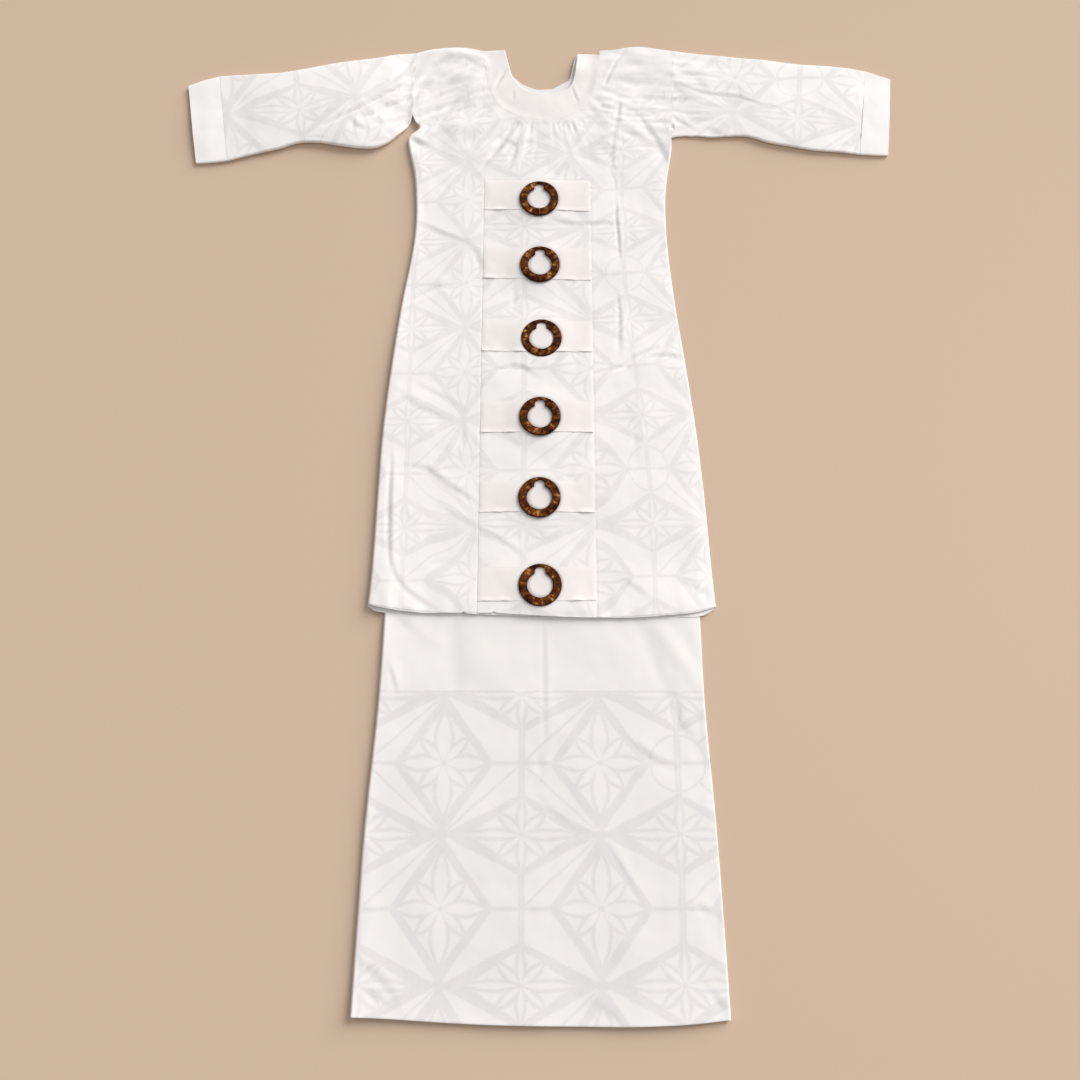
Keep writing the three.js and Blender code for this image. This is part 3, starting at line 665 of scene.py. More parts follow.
def coconut_shell(name):
    """Polished coconut shell, cut from blocks and lacquered: dark brown with amber blocks and
    flecks that run from the eye to the rim, under a thin glossy coat."""
    material, tree = new_material(
        name, Roughness=0.25, Specular_IOR_Level=0.06, Coat_Weight=0.12, Coat_Roughness=0.08)
    polar = node_value(tree, "ShaderNodeUVMap", uv_map="turn")
    radius = node_value(tree, "ShaderNodeSeparateXYZ", [polar], 1)

    def streaks(around, inward, detail):
        scaled = {"Vector": polar, "Scale": (around, inward, 1)}
        place = node_value(tree, "ShaderNodeMapping", scaled)
        return noise_value(tree, place, 1.0, detail, 0.6)

    both = streaks(17.0, 0.9, 1.5) * 0.55 + streaks(44.0, 1.8, 2.0) * 0.45
    # The colour is darker towards the eye and towards the outer rim.
    rim = smooth_range(abs(radius - 0.5), 0.26, 0.52, 0.0, 0.09)
    ramp = node_value(tree, "ShaderNodeValToRGB", [both - rim]).socket
    stops = ramp.node.color_ramp.elements
    stops[0].position, stops[0].color = 0.3, linear("120300")
    stops[1].position, stops[1].color = 0.67, linear("CF9C62")
    stops.new(0.42).color = linear(colours().shell_dark)
    stops.new(0.5).color = linear("54290D")
    stops.new(0.58).color = linear(colours().shell_amber)
    tree.links.new(ramp, surface_inputs(tree)["Base Color"])
    return material


# ---------- cloth meshes ----------


EDGE_ROWS = (0.0, 0.4, 1.1, 2.1, 3.4)


def spaced(length, cell):
    """Shares 0 to 1 along an edge: even cells, with narrow ones at each end for its turn."""
    near = np.array(EDGE_ROWS)
    start = near[-1] + cell * 0.8
    inner = np.linspace(start, length - start, max(int(round((length - 2 * start) / cell)), 1) + 1)
    return np.concatenate((near, inner, length - near[::-1])) / length


def patch(mesh, across, up, place):
    """Adds a grid to a bmesh, its points moved to place(u, v) = x, y, z in mm, and gives back
    its vertices."""
    made = bmesh.ops.create_grid(
        mesh, x_segments=len(across) - 1, y_segments=len(up) - 1, size=0.5)["verts"]
    columns = np.array([v.co.x for v in made])
    rows = np.array([v.co.y for v in made])
    u = np.asarray(across)[np.rint((columns + 0.5) * (len(across) - 1)).astype(int)]
    v = np.asarray(up)[np.rint((rows + 0.5) * (len(up) - 1)).astype(int)]
    for vertex, point in zip(made, np.stack(place(u, v), axis=1)):
        vertex.co = point
    return made


def finish_cloth(mesh, node, material, cut):
    """Lays the cut map on a bmesh in mm, gives the cloth its wall, and dresses a node in it."""
    bmesh.ops.remove_doubles(mesh, verts=mesh.verts[:], dist=0.02)
    layer = mesh.loops.layers.uv.new("cut")
    us, vs = cut(*np.array([v.co[:2] for v in mesh.verts]).T)
    mesh.verts.index_update()
    for face in mesh.faces:
        face.smooth = True
        for loop in face.loops:
            loop[layer].uv = us[loop.vert.index], vs[loop.vert.index]
    bmesh.ops.solidify(mesh, geom=mesh.faces[:], thickness=wall_mm())
    for edge in mesh.edges:
        if len(edge.link_faces) == 2 and edge.calc_face_angle(0) > math.radians(50):
            edge.smooth = False
    for vertex in mesh.verts:
        vertex.co = vertex.co * MM + Vector((PLACE_X, PLACE_Y, 0))
    return dress(mesh, node + "_cloth", material, node)


def add_object(name, data, place=(0, 0, 0), turn=(0, 0, 0)):
    made = bpy.data.objects.new(name, data)
    made.location, made.rotation_euler = place, turn
    bpy.context.scene.collection.objects.link(made)
    return made


def finish_mesh(mesh, name, material):
    data = bpy.data.meshes.new(name)
    mesh.to_mesh(data)
    mesh.free()
    data.materials.append(material)
    return add_object(name, data)


def dress(mesh, name, material, node):
    """Makes a piece that rides on the one body and stands for a node's solid."""
    piece = finish_mesh(mesh, name, material)
    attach(piece, "root")
    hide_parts(node)
    return piece


def turned(distance, reach):
    """0 at an edge rising to 1 at reach mm from it, as the side of a rolled edge does."""
    return np.sqrt(1 - (1 - np.clip(distance / reach, 0, 1)) ** 2)


# ---------- heights ----------


def crumple(x, y, seed, size=34.0):
    """Uneven lie of the cloth: broad swells with smaller ones on them."""
    height = sizes().crumple / MM
    return height * (soft_noise(x, y, 2.2 * size, seed) + 0.45 * soft_noise(x, y, size, seed + 5)
                     + 0.14 * soft_noise(x, y, 0.4 * size, seed + 9))


def drawn_folds(x, y, turn, seed):
    """Small uneven folds that all run one way, so many degrees from X."""
    along, across = rotated(x, y, turn)
    return soft_noise(along / 3.4, across, 9.0, seed)


def side_roll(x):
    """Reach of a front's rolled side, a little more at the wearer's right."""
    return 2.2 - x / 550


def skirt_edge(x, y):
    """Distance in from the skirt's side seams, and from its hem."""
    return within(x, *sides(SKIRT_SIDES, y)), y - skirt_hem(x)


def skirt_height(x, y):
    """The skirt front's upper face, which is pressed flat under the tunic."""
    side, hem = skirt_edge(x, y)
    free = falling(*SKIRT_PRESSED, y)
    dip = 2.2 * fading(sides(SKIRT_SIDES, y)[1] - x, DIP_REACH)
    beside = (2.4 - x / 190) * fading(side, SWELL_REACH) + 3.0 * fading(hem, SWELL_REACH)
    swell = SWELL + beside - dip
    folds = crease_height(SKIRT_CREASES, x, y)
    loose = crumple(x, y, 8.7, 40) * rising(0, 12, side)
    face = LAYER + wall_mm() + np.maximum(swell + folds + loose, 0.2) * free
    seam = between(LAYER, SKIRT_SEAM, free)
    return (between(seam, face, turned(side, side_roll(x)))
            - 0.8 * (1 - turned(hem, 2.0)) * free)


def skirt_back_height(x, y):
    rolled = (1 - turned(skirt_edge(x, y)[0], BACK_ROLL)) * falling(*SKIRT_PRESSED, y)
    return between(wall_mm(), SKIRT_SEAM, rolled)


def ground(x, y):
    """What lies under the tunic: the skirt, and past its edges a soft fall towards the floor."""
    level = np.minimum(y, 810)
    beside = -within(x, *sides(SKIRT_SIDES, level))
    right, left = sides(SKIRT_SIDES, y)
    inside = np.clip(x, right + 5, left - 5)
    under = np.maximum(2 * LAYER, skirt_height(inside, y) + 0.25)
    return under * (1 - 0.7 * rising(-4, 31, beside)) * falling(-20, 110, y - SKIRT_TOP)


def tunic_edge(x, y):
    """Distance in from the tunic's side seams, shoulders and hem. The armholes don't count."""
    side = np.minimum(from_side(x, y), shoulder_line(x) - y)
    return np.minimum(side, y - tunic_hem(x))


def radiating(x, y):
    """Soft folds that spread from the neckband over the chest and shoulders."""
    dx, dy = x - 8, 1392 - y
    off = np.hypot(dx, dy)
    # At the wearer's right they run down from the shoulder.
    dy = dy + 62 * rising(10, 150, -x)
    uneven = 1.0 - 0.45 * bell(x - 5, 50) - 0.4 * rising(0, 60, x) * rising(0, 60, 1372 - y)
    share = rising(80, 106, off) * falling(125, 225 + 70 * (x < 0), off)
    folds = np.zeros_like(x)
    near = share > 0
    if near.any():
        angle = np.arctan2(dx, dy)[near]
        folds[near] = 2.8 * sizes().crease * (share * uneven)[near] * (
            soft_noise(angle * 6.5, off[near] / 60, 1.0, 44.6)
            + 0.5 * soft_noise(angle * 14, off[near] / 45, 1.0, 49.3))
    return folds


def under_ring(x, y):
    """How the strip and its bands lie round the rings, in mm: level under each, standing up
    through its eye, and bulging round it."""
    level, bulge = np.zeros_like(x), np.zeros_like(x)
    for band in BANDS:
        dx, dy = x - band.ring_x, y - band.ring_y
        off = np.hypot(dx, dy)
        notch = falling(0, 1, np.abs(dx) - NOTCH_WIDTH / 2) * falling(24, 25, dy) * (dy > 0)
        eye = np.maximum(falling(EYE_RADIUS - 2, EYE_RADIUS, off), notch)
        round_it = rising(RING_RADIUS - 1.5, RING_RADIUS + 1, off)
        level = np.maximum(level, falling(RING_RADIUS, RING_RADIUS + 24, off))
        bulge = np.maximum(bulge, 1.4 * np.maximum(
            eye, round_it * bell(np.maximum(off - RING_RADIUS, 0), 20)))
    return level, bulge


def lie(x, y):
    """Upper face of the tunic's front, and of the strip less its own thickness."""
    edge = tunic_edge(x, y)
    side = within(x, *sides(TUNIC_SIDES, y))
    beside = (1.9 - x / 180) * (1 - 0.7 * rising(1290, 1330, y))
    dip = 1.7 * fading(sides(TUNIC_SIDES, y)[1] - x, DIP_REACH) * falling(1200, 1290, y)
    swell = SWELL + beside * fading(side, SWELL_REACH) - dip
    folds = crease_height(TUNIC_CREASES + STRIP_CREASES, x, y) + radiating(x, y)
    for gx, length, depth in GATHERS:
        down = NECK_BOTTOM[1] - y
        lean = gx + 0.25 * (gx - 8) * down / 30
        inside = rising(0, 10, down) * falling(0.4 * length, length + 4, down)
        folds = folds - 0.6 * depth * inside * bell(x - lean, 2.5)
    chest = 1 + 0.8 * rising(1120, 1300, y) - 0.9 * rising(1310, 1370, y)
    fine = rising(1200, 1300, y) * (
        1.5 * drawn_folds(x, y, 38, 4.4) * rising(20, 90, -x)
        + 1.05 * drawn_folds(x, y, -3, 7.1) * rising(60, 120, x))
    loose = (chest * crumple(x, y, 3.1) + fine) * rising(0, 12, edge)
    pucker = soft_noise(x, 0.35 * y, 15.0, 6.1) * fading(y - tunic_hem(x), 13)
    pit = 4.0 * np.exp(-((x - 207) ** 2 + (y - 1294.5) ** 2) / 6)
    lift = np.maximum(swell + folds + pucker + loose, 0.3) - pit
    level, bulge = under_ring(x, y)
    lift = between(lift, 2.6, level) + bulge
    return ground(x, y) + LAYER + wall_mm() + lift


def in_strip(x, y):
    """Distance in from the edges of the strip."""
    return np.minimum(within(x, STRIP_RIGHT, STRIP_LEFT), STRIP_TOP - y)


def front_height(x, y):
    """The tunic front's upper face. It is pressed down under the strip."""
    face = lie(x, y) - rising(0, 3, in_strip(x, y))
    side = np.minimum(from_side(x, y), shoulder_line(x) - y)
    face = between(ground(x, y) + TUNIC_SEAM, face, turned(side, side_roll(x)))
    return face - 0.7 * (1 - turned(y - tunic_hem(x), 1.6))


def tunic_back_height(x, y):
    side = np.where(y < 700, from_side(x, y), tunic_edge(x, y))
    return ground(x, y) + between(wall_mm(), TUNIC_SEAM, 1 - turned(side, BACK_ROLL))


def strip_height(x, y):
    """Upper face of the strip applied down the front. Its topstitched edges draw in unevenly."""
    drawn = 0.22 + 0.14 * np.sin(y / 5.1) * np.sin(y / 17 + x / 60)
    return lie(x, y) + 0.28 - drawn * falling(0, 3.5, in_strip(x, y))


# ---------- cut maps ----------


def tunic_cut(x, y):
    """Repeats of the tunic's print. The cloth is a little off grain: its rows climb to the
    wearer's left at the chest, and its columns spread towards the hem."""
    spread_left = 32 * falling(620, 1080, y) * rising(40, 110, x)
    spread_right = 20 * falling(640, 800, y) * falling(-90, -40, x) * rising(-160, -115, x)
    climb = (x + 110) / 260 * (5 + 17 * rising(640, 1233, y))
    rows = through((490, 640, 800, 948, 1093, 1233, 1375, 1520), (-1, 0, 1, 2, 3, 4, 5, 6),
                   y - climb)
    return (x - spread_left - spread_right + 110) / 157 - 1, rows


def strip_cut(x, y):
    return (x - 75) / 196, (y - 645) / 157


def skirt_cut(x, y):
    return (x - 78) / REPEAT_ACROSS, (y - 228) / REPEAT_UP


def sleeve_cut(side):
    """Repeats along and across a sleeve, whose print runs down the arm."""
    star_x, star_y, turn = {"right": (-287, 1345, 8.5), "left": (302, 1319, -6.0)}[side]

    def cut(x, y):
        along, over = rotated(x - star_x, y - star_y, turn)
        if side == "right":
            near = bell(along + 92, 45)
            return (along - 10 * near) / REPEAT_ACROSS, (over + 11 * near) / REPEAT_UP
        fold = through(SLEEVE_FOLD[::2], SLEEVE_FOLD[1::2], x)
        soft = 1.5 + 40 * rising(340, 420, x)
        taken = SLEEVE_TUCK * rising(-soft, soft, y - fold)
        taken = taken * (1 - 0.5 * rising(340, 440, x))
        return along / REPEAT_ACROSS, (over + taken) / REPEAT_UP
    return cut


# ---------- pieces ----------


def sheet_mesh(across, up, place):
    mesh = bmesh.new()
    patch(mesh, across, up, place)
    return mesh


def face_out(mesh):
    """Turns all faces the same way, with the highest one looking up."""
    bmesh.ops.recalc_face_normals(mesh, faces=mesh.faces[:])
    if max(mesh.faces, key=lambda f: f.calc_center_median().z).normal.z < 0:
        bmesh.ops.reverse_faces(mesh, faces=mesh.faces[:])


def skirt_panel(height):
    def place(u, v):
        hem = skirt_hem(between(*sides(SKIRT_SIDES, 0), u))
        y = between(hem, SKIRT_TOP - WAISTBAND_DEPTH - 0.4, v)
        x = between(*sides(SKIRT_SIDES, y), u)
        return x, y, height(x, y)
    return place


def corner_peep(x):
    """The back's hem shows below the front's near the corners, where the two roll together."""
    return 6 * rising(140, 214, np.abs(x)) * (1 - 0.75 * rising(222, 240, np.abs(x)))


def tunic_layer(height, cell, hem_drop):
    """A front or back: one patch up to the neckline and a lobe on each side of the neck."""
    neck_x, neck_y = NECK_BOTTOM

    def column(u, y):
        """Where a column lies at a height. Fewer lie under the strip, where nothing shows."""
        below = falling(STRIP_TOP - 6, STRIP_TOP + 30, y)
        middle = between(STRIP_CENTRE, neck_x, rising(1150, neck_y, y))
        marks = (0, 0.24 + 0.17 * below, 0.5, 0.76 - 0.17 * below, 1)
        right, left = sides(TUNIC_SIDES, y)
        lines = (right, STRIP_RIGHT - 2, middle, STRIP_LEFT + 2, left)
        x = lines[0] + 0 * u
        for i in range(4):
            share = (u - marks[i]) / (marks[i + 1] - marks[i])
            x = np.where(u > marks[i], between(lines[i], lines[i + 1], share), x)
        return x

    def body(u, v):
        hem_x = between(*sides(TUNIC_SIDES, TUNIC_CORNER), u)
        y = between(tunic_hem(hem_x) - hem_drop(hem_x), neck_y, v)
        x = column(u, y)
        return x, y, height(x, y)

    half = spaced(205, 0.9 * cell)
    half = np.concatenate((half[half < 0.96], [1.0])) / 2
    across = np.concatenate((half, 1 - half[-2::-1]))
    # The rows stand closer at the chest, where the gathers are.
    up = spaced(800, 1.12 * cell)
    mesh = sheet_mesh(across, up + 0.045 * np.sin(np.pi * up) * up, body)
    meeting = column(across, neck_y)
    for side, points in enumerate((NECK_OUTER[7::-1], NECK_OUTER[7:])):
        seam_x = float(sides(TUNIC_SIDES, neck_y)[side])
        order = np.sort((meeting - seam_x) / (neck_x - seam_x))
        order = order[(order > -1e-9) & (order < 1 + 1e-9)]

        def lobe(u, v, side=side, points=points):
            """Runs from the armhole at u = 0 to the neck at 1."""
            neck_at, level = along_points(points, v)
            level = np.maximum(level, neck_y)
            x = between(sides(TUNIC_SIDES, level)[side], neck_at, u)
            risen = (level - neck_y) / (NECK_OUTER[0][1] - neck_y)
            y = between(between(neck_y, shoulder_line(x), risen), level, u**4)
            return x, y, height(x, y)
        made = patch(mesh, order, np.linspace(0, 1, int(140 / cell)), lobe)
        if side == 1:
            bmesh.ops.reverse_faces(mesh, faces=list({f for v in made for f in v.link_faces}))
    return mesh


# Round the fold at a flat tube's side, how far it stands out and how high it is, in shares of
# the tube's. It turns tightly near the top and then tucks in under the tube.
FOLD_OUT = np.array((0.35, 0.68, 0.9, 1.0, 0.9, 0.55, 0.25))
FOLD_LEVEL = np.array((0.985, 0.95, 0.87, 0.72, 0.45, 0.2, 0.06))


def flat_tube(sections, creases, cell, seed=0.0, join=None):
    """A pressed flat tube of cloth as its outer surface, open at both ends. A sleeve's start
    meets the surface that join gives, and is a little ragged."""
    rows = np.asarray(sections, float)
    keys = np.linspace(0, 1, len(rows))
    length = np.hypot(*(rows[-1, :2] - rows[0, :2]))
    depth = np.hypot(*(rows[0, :2] - rows[0, 2:4]))
    upper = np.linspace(0, 1, max(int(depth / cell), 8) + 1)
    under = upper[::3][::-1]
    # Round the loop: the upper face, the fold under the arm, the lower face and the top fold.
    share = np.concatenate((upper, np.ones(7), under, np.zeros(7), [0.0]))
    lean = np.concatenate((0 * upper, FOLD_OUT, 0 * under, -FOLD_OUT[::-1], [0.0]))
    level = np.concatenate((0 * upper + 1, FOLD_LEVEL, 0 * under, FOLD_LEVEL[::-1], [1.0]))

    def place(u, v):
        k = np.rint(u * (len(share) - 1)).astype(int)
        down, top, run = share[k], level[k] > 0.99, v * length
        top_x, top_y, under_x, under_y, loft = (through(keys, rows[:, i], v) for i in range(5))
        span = np.hypot(under_x - top_x, under_y - top_y)
        rim = TUBE / 2 + 0.62 * loft
        mm = rim + down * (span - 2 * rim) + lean[k] * rim
        if join:
            ragged = 1.5 * soft_noise(run, down * 40, 16.0, seed + 2) * (down > 0.9)
            mm = mm + ragged * falling(0.25, 0.5, v) * rising(0, 0.05, v)
        x, y = between(top_x, under_x, mm / span), between(top_y, under_y, mm / span)
        over = (4 * down * (1 - down)) ** 0.9
        folds = crease_height(creases, x, y)
        crown = 0.45 * loft * over + folds
        if seed:
            crown = crown + 1.5 * crumple(x, y, seed) * np.sqrt(over)
        z = 2 * rim * level[k] + np.where(top, crown, 0)
        if join:
            fine = drawn_folds(x, y, 36 if x[0] < 0 else -4, seed + 4) * np.sqrt(over)
            fine = 1.2 * fine * falling(40, 170, run)
            meeting = join(x, y) + (folds + fine) * rising(0, 10, run)
            z = between(z + fine * top, meeting, falling(0, 50, run) * top)
            z = z - 0.04 * bell(run, 1.5)
        return x, y, np.where(top, np.maximum(z, 2 * wall_mm() + 0.4), z)

    along = np.linspace(0, 1, max(int(length / cell), 2) + 1)
    mesh = sheet_mesh(np.linspace(0, 1, len(share)), along, place)
    bmesh.ops.remove_doubles(mesh, verts=mesh.verts[:], dist=0.02)
    face_out(mesh)
    return mesh


def neckband_place(front):
    def place(u, v):
        # The band's end at the wearer's left stops short of the shoulder.
        out_x, out_y = along_points(NECK_OUTER, 0.984 * u)
        in_x, in_y = along_points(NECK_INNER if front else BACK_NECK_INNER, u)
        in_y = in_y + 0.9 * falling(20, 45, np.abs(in_x - 4)) * np.sin(in_x / 5.2 + front)
        x, y = between(out_x, in_x, v), between(out_y, in_y, v)
        # Both layers stand off the floor at the wearer's left.
        stands = 7.0 * v**2 * bell(y - 1405, 19) * rising(30, 48, x)
        if not front:
            return x, y, wall_mm() + 0.55 * stands
        width = np.hypot(in_x - out_x, in_y - out_y)
        face = LAYER + wall_mm() + 2.2 + 1.3 * crumple(x, y, 12.4)
        face = face + crease_height(NECKBAND_CREASES, x, y)
        # Its outer edge is seamed level with the tunic's front.
        face = between(face, lie(x, y), falling(0, 14, v * width)) - 0.15 * bell(v * width, 0.9)
        z = stands + between(TUNIC_SEAM, face, turned(520 * np.minimum(u, 1 - u), 1.4))
        return x, y, z - 0.6 * (1 - turned((1 - v) * width, 1.2))
    return place


def strip_place(u, v):
    x = between(STRIP_RIGHT, STRIP_LEFT, u)
    y = between(tunic_hem(x) + 0.4, STRIP_TOP, v)
    return x, y, strip_height(x, y)


def band_place(number, band):
    """A band lies close to the strip, and its folded lower edge stands off it here and there."""
    right, left = STRIP_RIGHT + 0.3, STRIP_LEFT - 0.3

    def place(u, v):
        x = between(right, left, u)
        hang = 0.5 * np.sin(x / 31 + number * 1.7) - band.slant * (u - 0.5)
        hang = hang + 0.35 * np.sin(x / 2.9 + number) * np.sin(x / 11)
        y = between(band.bottom, band.top, v) + hang * (1 - v)
        flutter = np.sin(x / 6.3 + 2.1 * number) * np.sin(x / 23 + number)
        stands = 0.15 + 0.8 * np.maximum(flutter, -0.3) + 1.2 * np.abs(u - 0.5)
        edge = np.minimum(within(x, right, left), band.top - y)
        z = strip_height(x, y) + 0.12 + 0.2 * rising(0, 6, edge)
        return x, y, z + stands * falling(0, 7, v * (band.top - band.bottom))
    return place


def keyhole(angle):
    """The point of a ring's eye in a direction, measured from straight up. The eye is round,
    with a notch above it that has round corners, and soft shoulders between them."""
    dx, dy = math.sin(angle), math.cos(angle)
    half, top, corner = NOTCH_WIDTH / 2, RING_RADIUS - NOTCH_WALL, NOTCH_CORNER
    reach = EYE_RADIUS
    if dy > 0 and abs(dx) * EYE_RADIUS < half:
        reach = min(top / dy, half / max(abs(dx), 1e-6))
        along = (half - corner) * abs(dx) + (top - corner) * dy
        inside = along**2 - (half - corner) ** 2 - (top - corner) ** 2 + corner**2
        bend = along + math.sqrt(max(inside, 0.0))
        if bend * abs(dx) > half - corner and bend * dy > top - corner:
            reach = min(reach, bend)
    # A smooth greatest of the two outlines rounds the shoulders.
    soft = 0.8
    over = max(reach - EYE_RADIUS, 0.0)
    reach = EYE_RADIUS + over * over / (over + soft) + 0.2 * soft * math.exp(-over)
    return reach * dx, reach * dy


def ring_mesh(thick):
    """A flat ring in mm, with its rims rounded."""
    mesh = bmesh.new()
    bmesh.ops.create_circle(mesh, segments=RING_STEPS, radius=RING_RADIUS)
    eye = bmesh.ops.create_circle(mesh, segments=RING_STEPS, radius=EYE_RADIUS)["verts"]
    for vertex in eye:
        vertex.co.xy = keyhole(math.atan2(vertex.co.x, vertex.co.y))
    outline = set(mesh.edges)
    bmesh.ops.bridge_loops(mesh, edges=mesh.edges[:])
    across = [e for e in mesh.edges if e not in outline]
    bmesh.ops.subdivide_edges(mesh, edges=across, cuts=3)
    made = bmesh.ops.extrude_face_region(mesh, geom=mesh.faces[:])["geom"]
    for vertex in made:
        if isinstance(vertex, bmesh.types.BMVert):
            vertex.co.z = thick
    bmesh.ops.recalc_face_normals(mesh, faces=mesh.faces[:])
    rims = [e for e in mesh.edges if e.calc_face_angle(0) > math.radians(60)]
    bmesh.ops.bevel(mesh, geom=rims, offset=RIM_ROUND, affect="EDGES", segments=4, profile=0.5,
                    material=-1)
    return mesh


def lay_turns(mesh, start):
    """Maps a ring: turns round it, and shares of the way from its eye to its rim."""
    layer = mesh.loops.layers.uv.new("turn")
    for face in mesh.faces:
        face.smooth = True
        centre = face.calc_center_median()
        about = math.atan2(centre.x, centre.y)
        for loop in face.loops:
            co = loop.vert.co
            angle = about + math.remainder(math.atan2(co.x, co.y) - about, math.tau)
            loop[layer].uv = (angle / math.tau + start,
                              (co.xy.length - EYE_RADIUS) / (RING_RADIUS - EYE_RADIUS))


class PULETASI_OT_skirt(bpy.types.Operator):
    """Build the skirt: front, back and waistband"""

    bl_idname = "puletasi.skirt"
    bl_label = "Skirt"

    def execute(self, context):
        cell = cell_mm()
        # The skirt's cloth is painted a shade darker than the tunic's, as painted shade.
        cloth = printed_cloth("Skirt cotton, screen printed", colours().skirt, 0.88,
                              top=skirt_cut(0, SKIRT_PRINT_TOP)[1])
        for name, height, step in (("skirt_front", skirt_height, cell),
                                   ("skirt_back", skirt_back_height, 4 * cell)):
            mesh = sheet_mesh(spaced(468, 0.85 * step), spaced(850, 1.3 * step),
                              skirt_panel(height))
            piece = finish_cloth(mesh, name, cloth, skirt_cut)
        rows = []
        for y in (SKIRT_TOP - WAISTBAND_DEPTH, SKIRT_TOP - WAISTBAND_DEPTH / 2, SKIRT_TOP - 0.3):
            right, left = sides(SKIRT_SIDES, y)
            rows.append((right, y, left, y, 0.0))
        piece = finish_cloth(flat_tube(rows, (), 6.0), "skirt_waistband",
                             plain_cloth("Waistband cotton", colours().facing), skirt_cut)
        return {"FINISHED"}


class PULETASI_OT_tunic(bpy.types.Operator):
    """Build the tunic's front and back"""

    bl_idname = "puletasi.tunic"
    bl_label = "Tunic front and back"

    def execute(self, context):
        cell = cell_mm()
        cloth = printed_cloth("Tunic cotton, screen printed", colours().cloth, 0.56,
                              fade=(4.1, 5.3))
        for name, height, step, drop in (
                ("tunic_front", front_height, cell, lambda x: 0 * x),
                ("tunic_back", tunic_back_height, 3 * cell, corner_peep)):
            mesh = tunic_layer(height, step, drop)
            piece = finish_cloth(mesh, name, cloth, tunic_cut)
        return {"FINISHED"}


class PULETASI_OT_sleeves(bpy.types.Operator):
    """Build both sleeves and cuffs"""

    bl_idname = "puletasi.sleeves"
    bl_label = "Sleeves and cuffs"

    def execute(self, context):
        cell = cell_mm()
        # The sleeves' white is painted a shade lighter than the tunic's, as painted light for the
        # falloff towards the cuffs.
        cloth = printed_cloth("Sleeve cotton, screen printed", colours().sleeve, 0.52)
        plain = plain_cloth("Cuff cotton", colours().cuff)
        for side, seed in (("right", 21.3), ("left", 33.8)):
            cut = sleeve_cut(side)
            mesh = flat_tube(SLEEVES[side], SLEEVE_CREASES[side], cell, seed, front_height)
            piece = finish_cloth(mesh, f"sleeve_{side}", cloth, cut)
            mesh = flat_tube(CUFFS[side], (), cell, seed + 3)
            piece = finish_cloth(mesh, f"cuff_{side}", plain, cut)
        return {"FINISHED"}


class PULETASI_OT_neckbands(bpy.types.Operator):
    """Build the front and back neckbands"""

    bl_idname = "puletasi.neckbands"
    bl_label = "Neckbands"

    def execute(self, context):
        plain = plain_cloth("Neckband cotton", colours().facing)
        for name, front in (("neckband_front", True), ("neckband_back", False)):
            mesh = sheet_mesh(np.linspace(0, 1, 181), spaced(45, 2.4), neckband_place(front))
            face_out(mesh)
            piece = finish_cloth(mesh, name, plain, tunic_cut)
        return {"FINISHED"}


class PULETASI_OT_strip(bpy.types.Operator):
    """Build the strip down the front and the bands across it"""

    bl_idname = "puletasi.strip"
    bl_label = "Strip and bands"

    def execute(self, context):
        cell = cell_mm()
        cloth = printed_cloth("Strip cotton, screen printed", colours().cloth, 0.6)
        plain = plain_cloth("Band cotton", colours().plain)
        mesh = sheet_mesh(spaced(STRIP_WIDTH, cell), spaced(688, cell), strip_place)
        piece = finish_cloth(mesh, "front_panel", cloth, strip_cut)
        for number, band in enumerate(BANDS, 1):
            mesh = sheet_mesh(spaced(STRIP_WIDTH, 2.4), spaced(50, 2.2), band_place(number, band))
            piece = finish_cloth(mesh, f"band_{number}", plain, strip_cut)
        return {"FINISHED"}


class PULETASI_OT_rings(bpy.types.Operator):
    """Build the shell rings"""

    bl_idname = "puletasi.rings"
    bl_label = "Rings"

    def execute(self, context):
        shell = coconut_shell("Coconut shell, lacquered")
        for number in range(1, len(BANDS) + 1):
            low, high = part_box(f"ring_{number}")
            mesh = ring_mesh((high.z - low.z) / MM)
            lay_turns(mesh, 3.7 * number)
            centre = (low + high) / 2
            centre.z = low.z
            for vertex in mesh.verts:
                vertex.co = vertex.co * MM + centre
            dress(mesh, f"ring_{number}_shell", shell, f"ring_{number}")
        return {"FINISHED"}


def facing(direction):
    """The turn of a lamp that shines in a direction."""
    return direction.to_track_quat("-Z", "Y").to_euler()


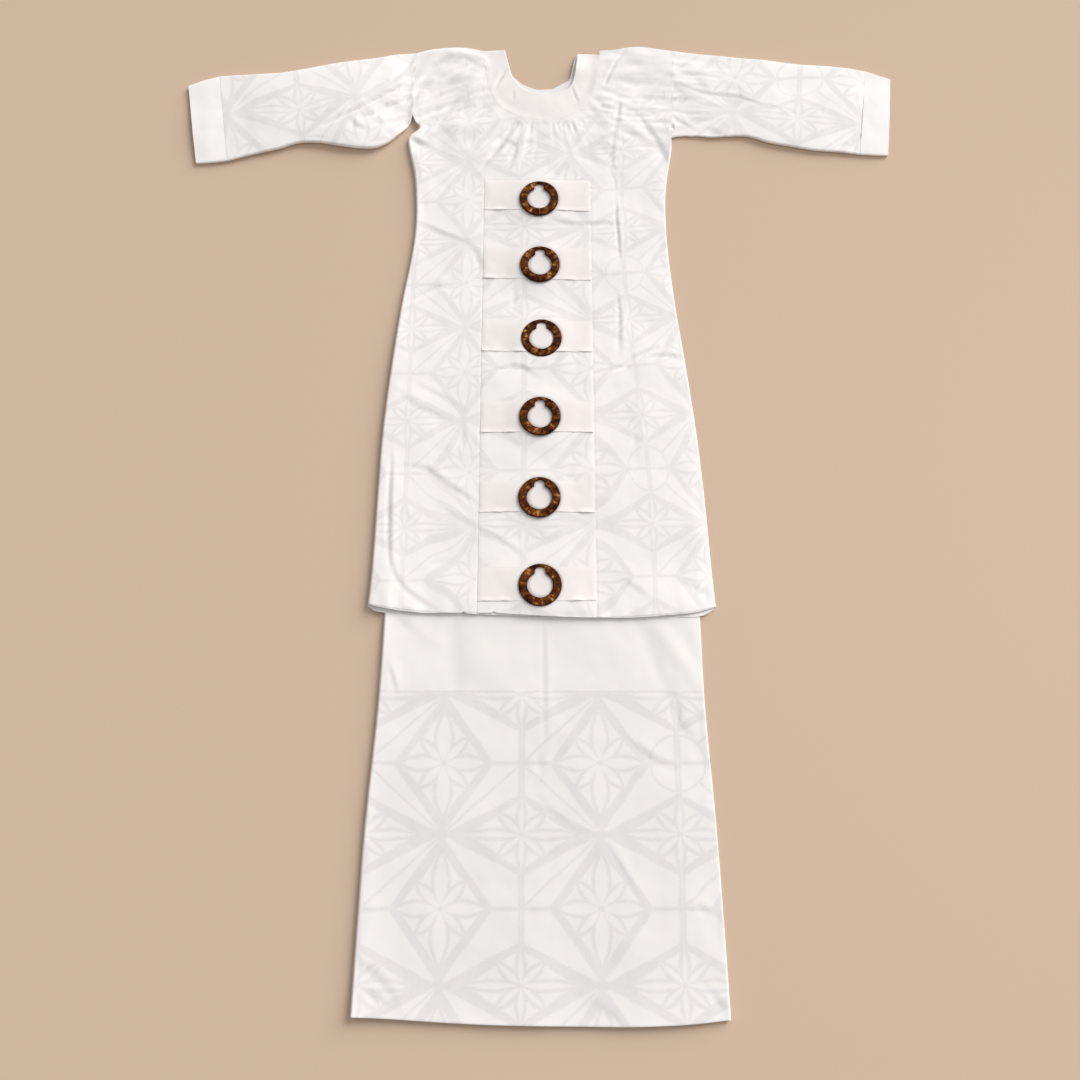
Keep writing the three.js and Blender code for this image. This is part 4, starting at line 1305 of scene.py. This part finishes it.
class PULETASI_OT_stage(bpy.types.Operator):
    """Build the floor, the lights and the camera"""

    bl_idname = "puletasi.stage"
    bl_label = "Stage"

    def execute(self, context):
        scene = context.scene
        mesh = bmesh.new()
        bmesh.ops.create_grid(mesh, x_segments=1, y_segments=1, size=6.0)
        for vertex in mesh.verts:
            vertex.co.z = cad_box[0].z - 0.0002
        card = new_material("Pale card", Base_Color=linear(colours().floor), Roughness=0.9)[0]
        floor = finish_mesh(mesh, "floor", card)
        sun = bpy.data.lights.new("window", "SUN")
        sun.energy, sun.angle, sun.color = 3.62, math.radians(42), (1.0, 0.99, 0.97)
        add_object("window", sun, turn=facing(Vector((-0.73, -0.68, -0.47))))
        light = bpy.data.lights.new("ceiling", "AREA")
        light.shape, light.size, light.energy, light.color = "DISK", 1.0, 3.0, (1.0, 0.99, 0.98)
        middle, away = Vector((PLACE_X, PLACE_Y + 700 * MM, 0)), Vector((1.1, -0.1, 1.5))
        add_object("ceiling", light, middle + away, facing(-away))
        world = bpy.data.worlds.new("Pale room")
        world.use_nodes = True
        backdrop = world.node_tree.nodes["Background"]
        backdrop.inputs["Color"].default_value = (1.0, 0.995, 0.99, 1)
        backdrop.inputs["Strength"].default_value = 0.45
        scene.world = world
        lens = bpy.data.cameras.new("camera")
        lens.lens, lens.sensor_width, lens.clip_end = 35.0, 36.0, 30.0
        scene.camera = add_object("camera", lens, (PLACE_X, PLACE_Y + 220 * MM, 1.405),
                                  (math.radians(16), 0, 0))
        scene.view_settings.view_transform = "Standard"
        return {"FINISHED"}


OPERATORS = (PULETASI_OT_skirt, PULETASI_OT_tunic, PULETASI_OT_sleeves, PULETASI_OT_neckbands,
             PULETASI_OT_strip, PULETASI_OT_rings, PULETASI_OT_stage)


class PULETASI_PT_panel(bpy.types.Panel):
    """Lists the set's sizes, colours and pieces"""

    bl_label = "Puletasi"
    bl_space_type = "VIEW_3D"
    bl_region_type = "UI"
    bl_category = "Puletasi"

    def draw(self, context):
        for group in (sizes(), colours()):
            for name in group.bl_rna.properties.keys():
                if name not in ("rna_type", "name"):
                    self.layout.prop(group, name)
        for operator in OPERATORS:
            self.layout.operator(operator.bl_idname)


CLASSES = (PuletasiSizes, PuletasiColours, *OPERATORS, PULETASI_PT_panel)


def register():
    for cls in CLASSES:
        bpy.utils.register_class(cls)
    bpy.types.Scene.puletasi_sizes = bpy.props.PointerProperty(type=PuletasiSizes)
    bpy.types.Scene.puletasi_colours = bpy.props.PointerProperty(type=PuletasiColours)


def unregister():
    del bpy.types.Scene.puletasi_colours
    del bpy.types.Scene.puletasi_sizes
    for cls in reversed(CLASSES):
        bpy.utils.unregister_class(cls)


def main():
    register()
    for operator in OPERATORS:
        group, name = operator.bl_idname.split(".")
        getattr(getattr(bpy.ops, group), name)()


if __name__ == "__main__":
    main()
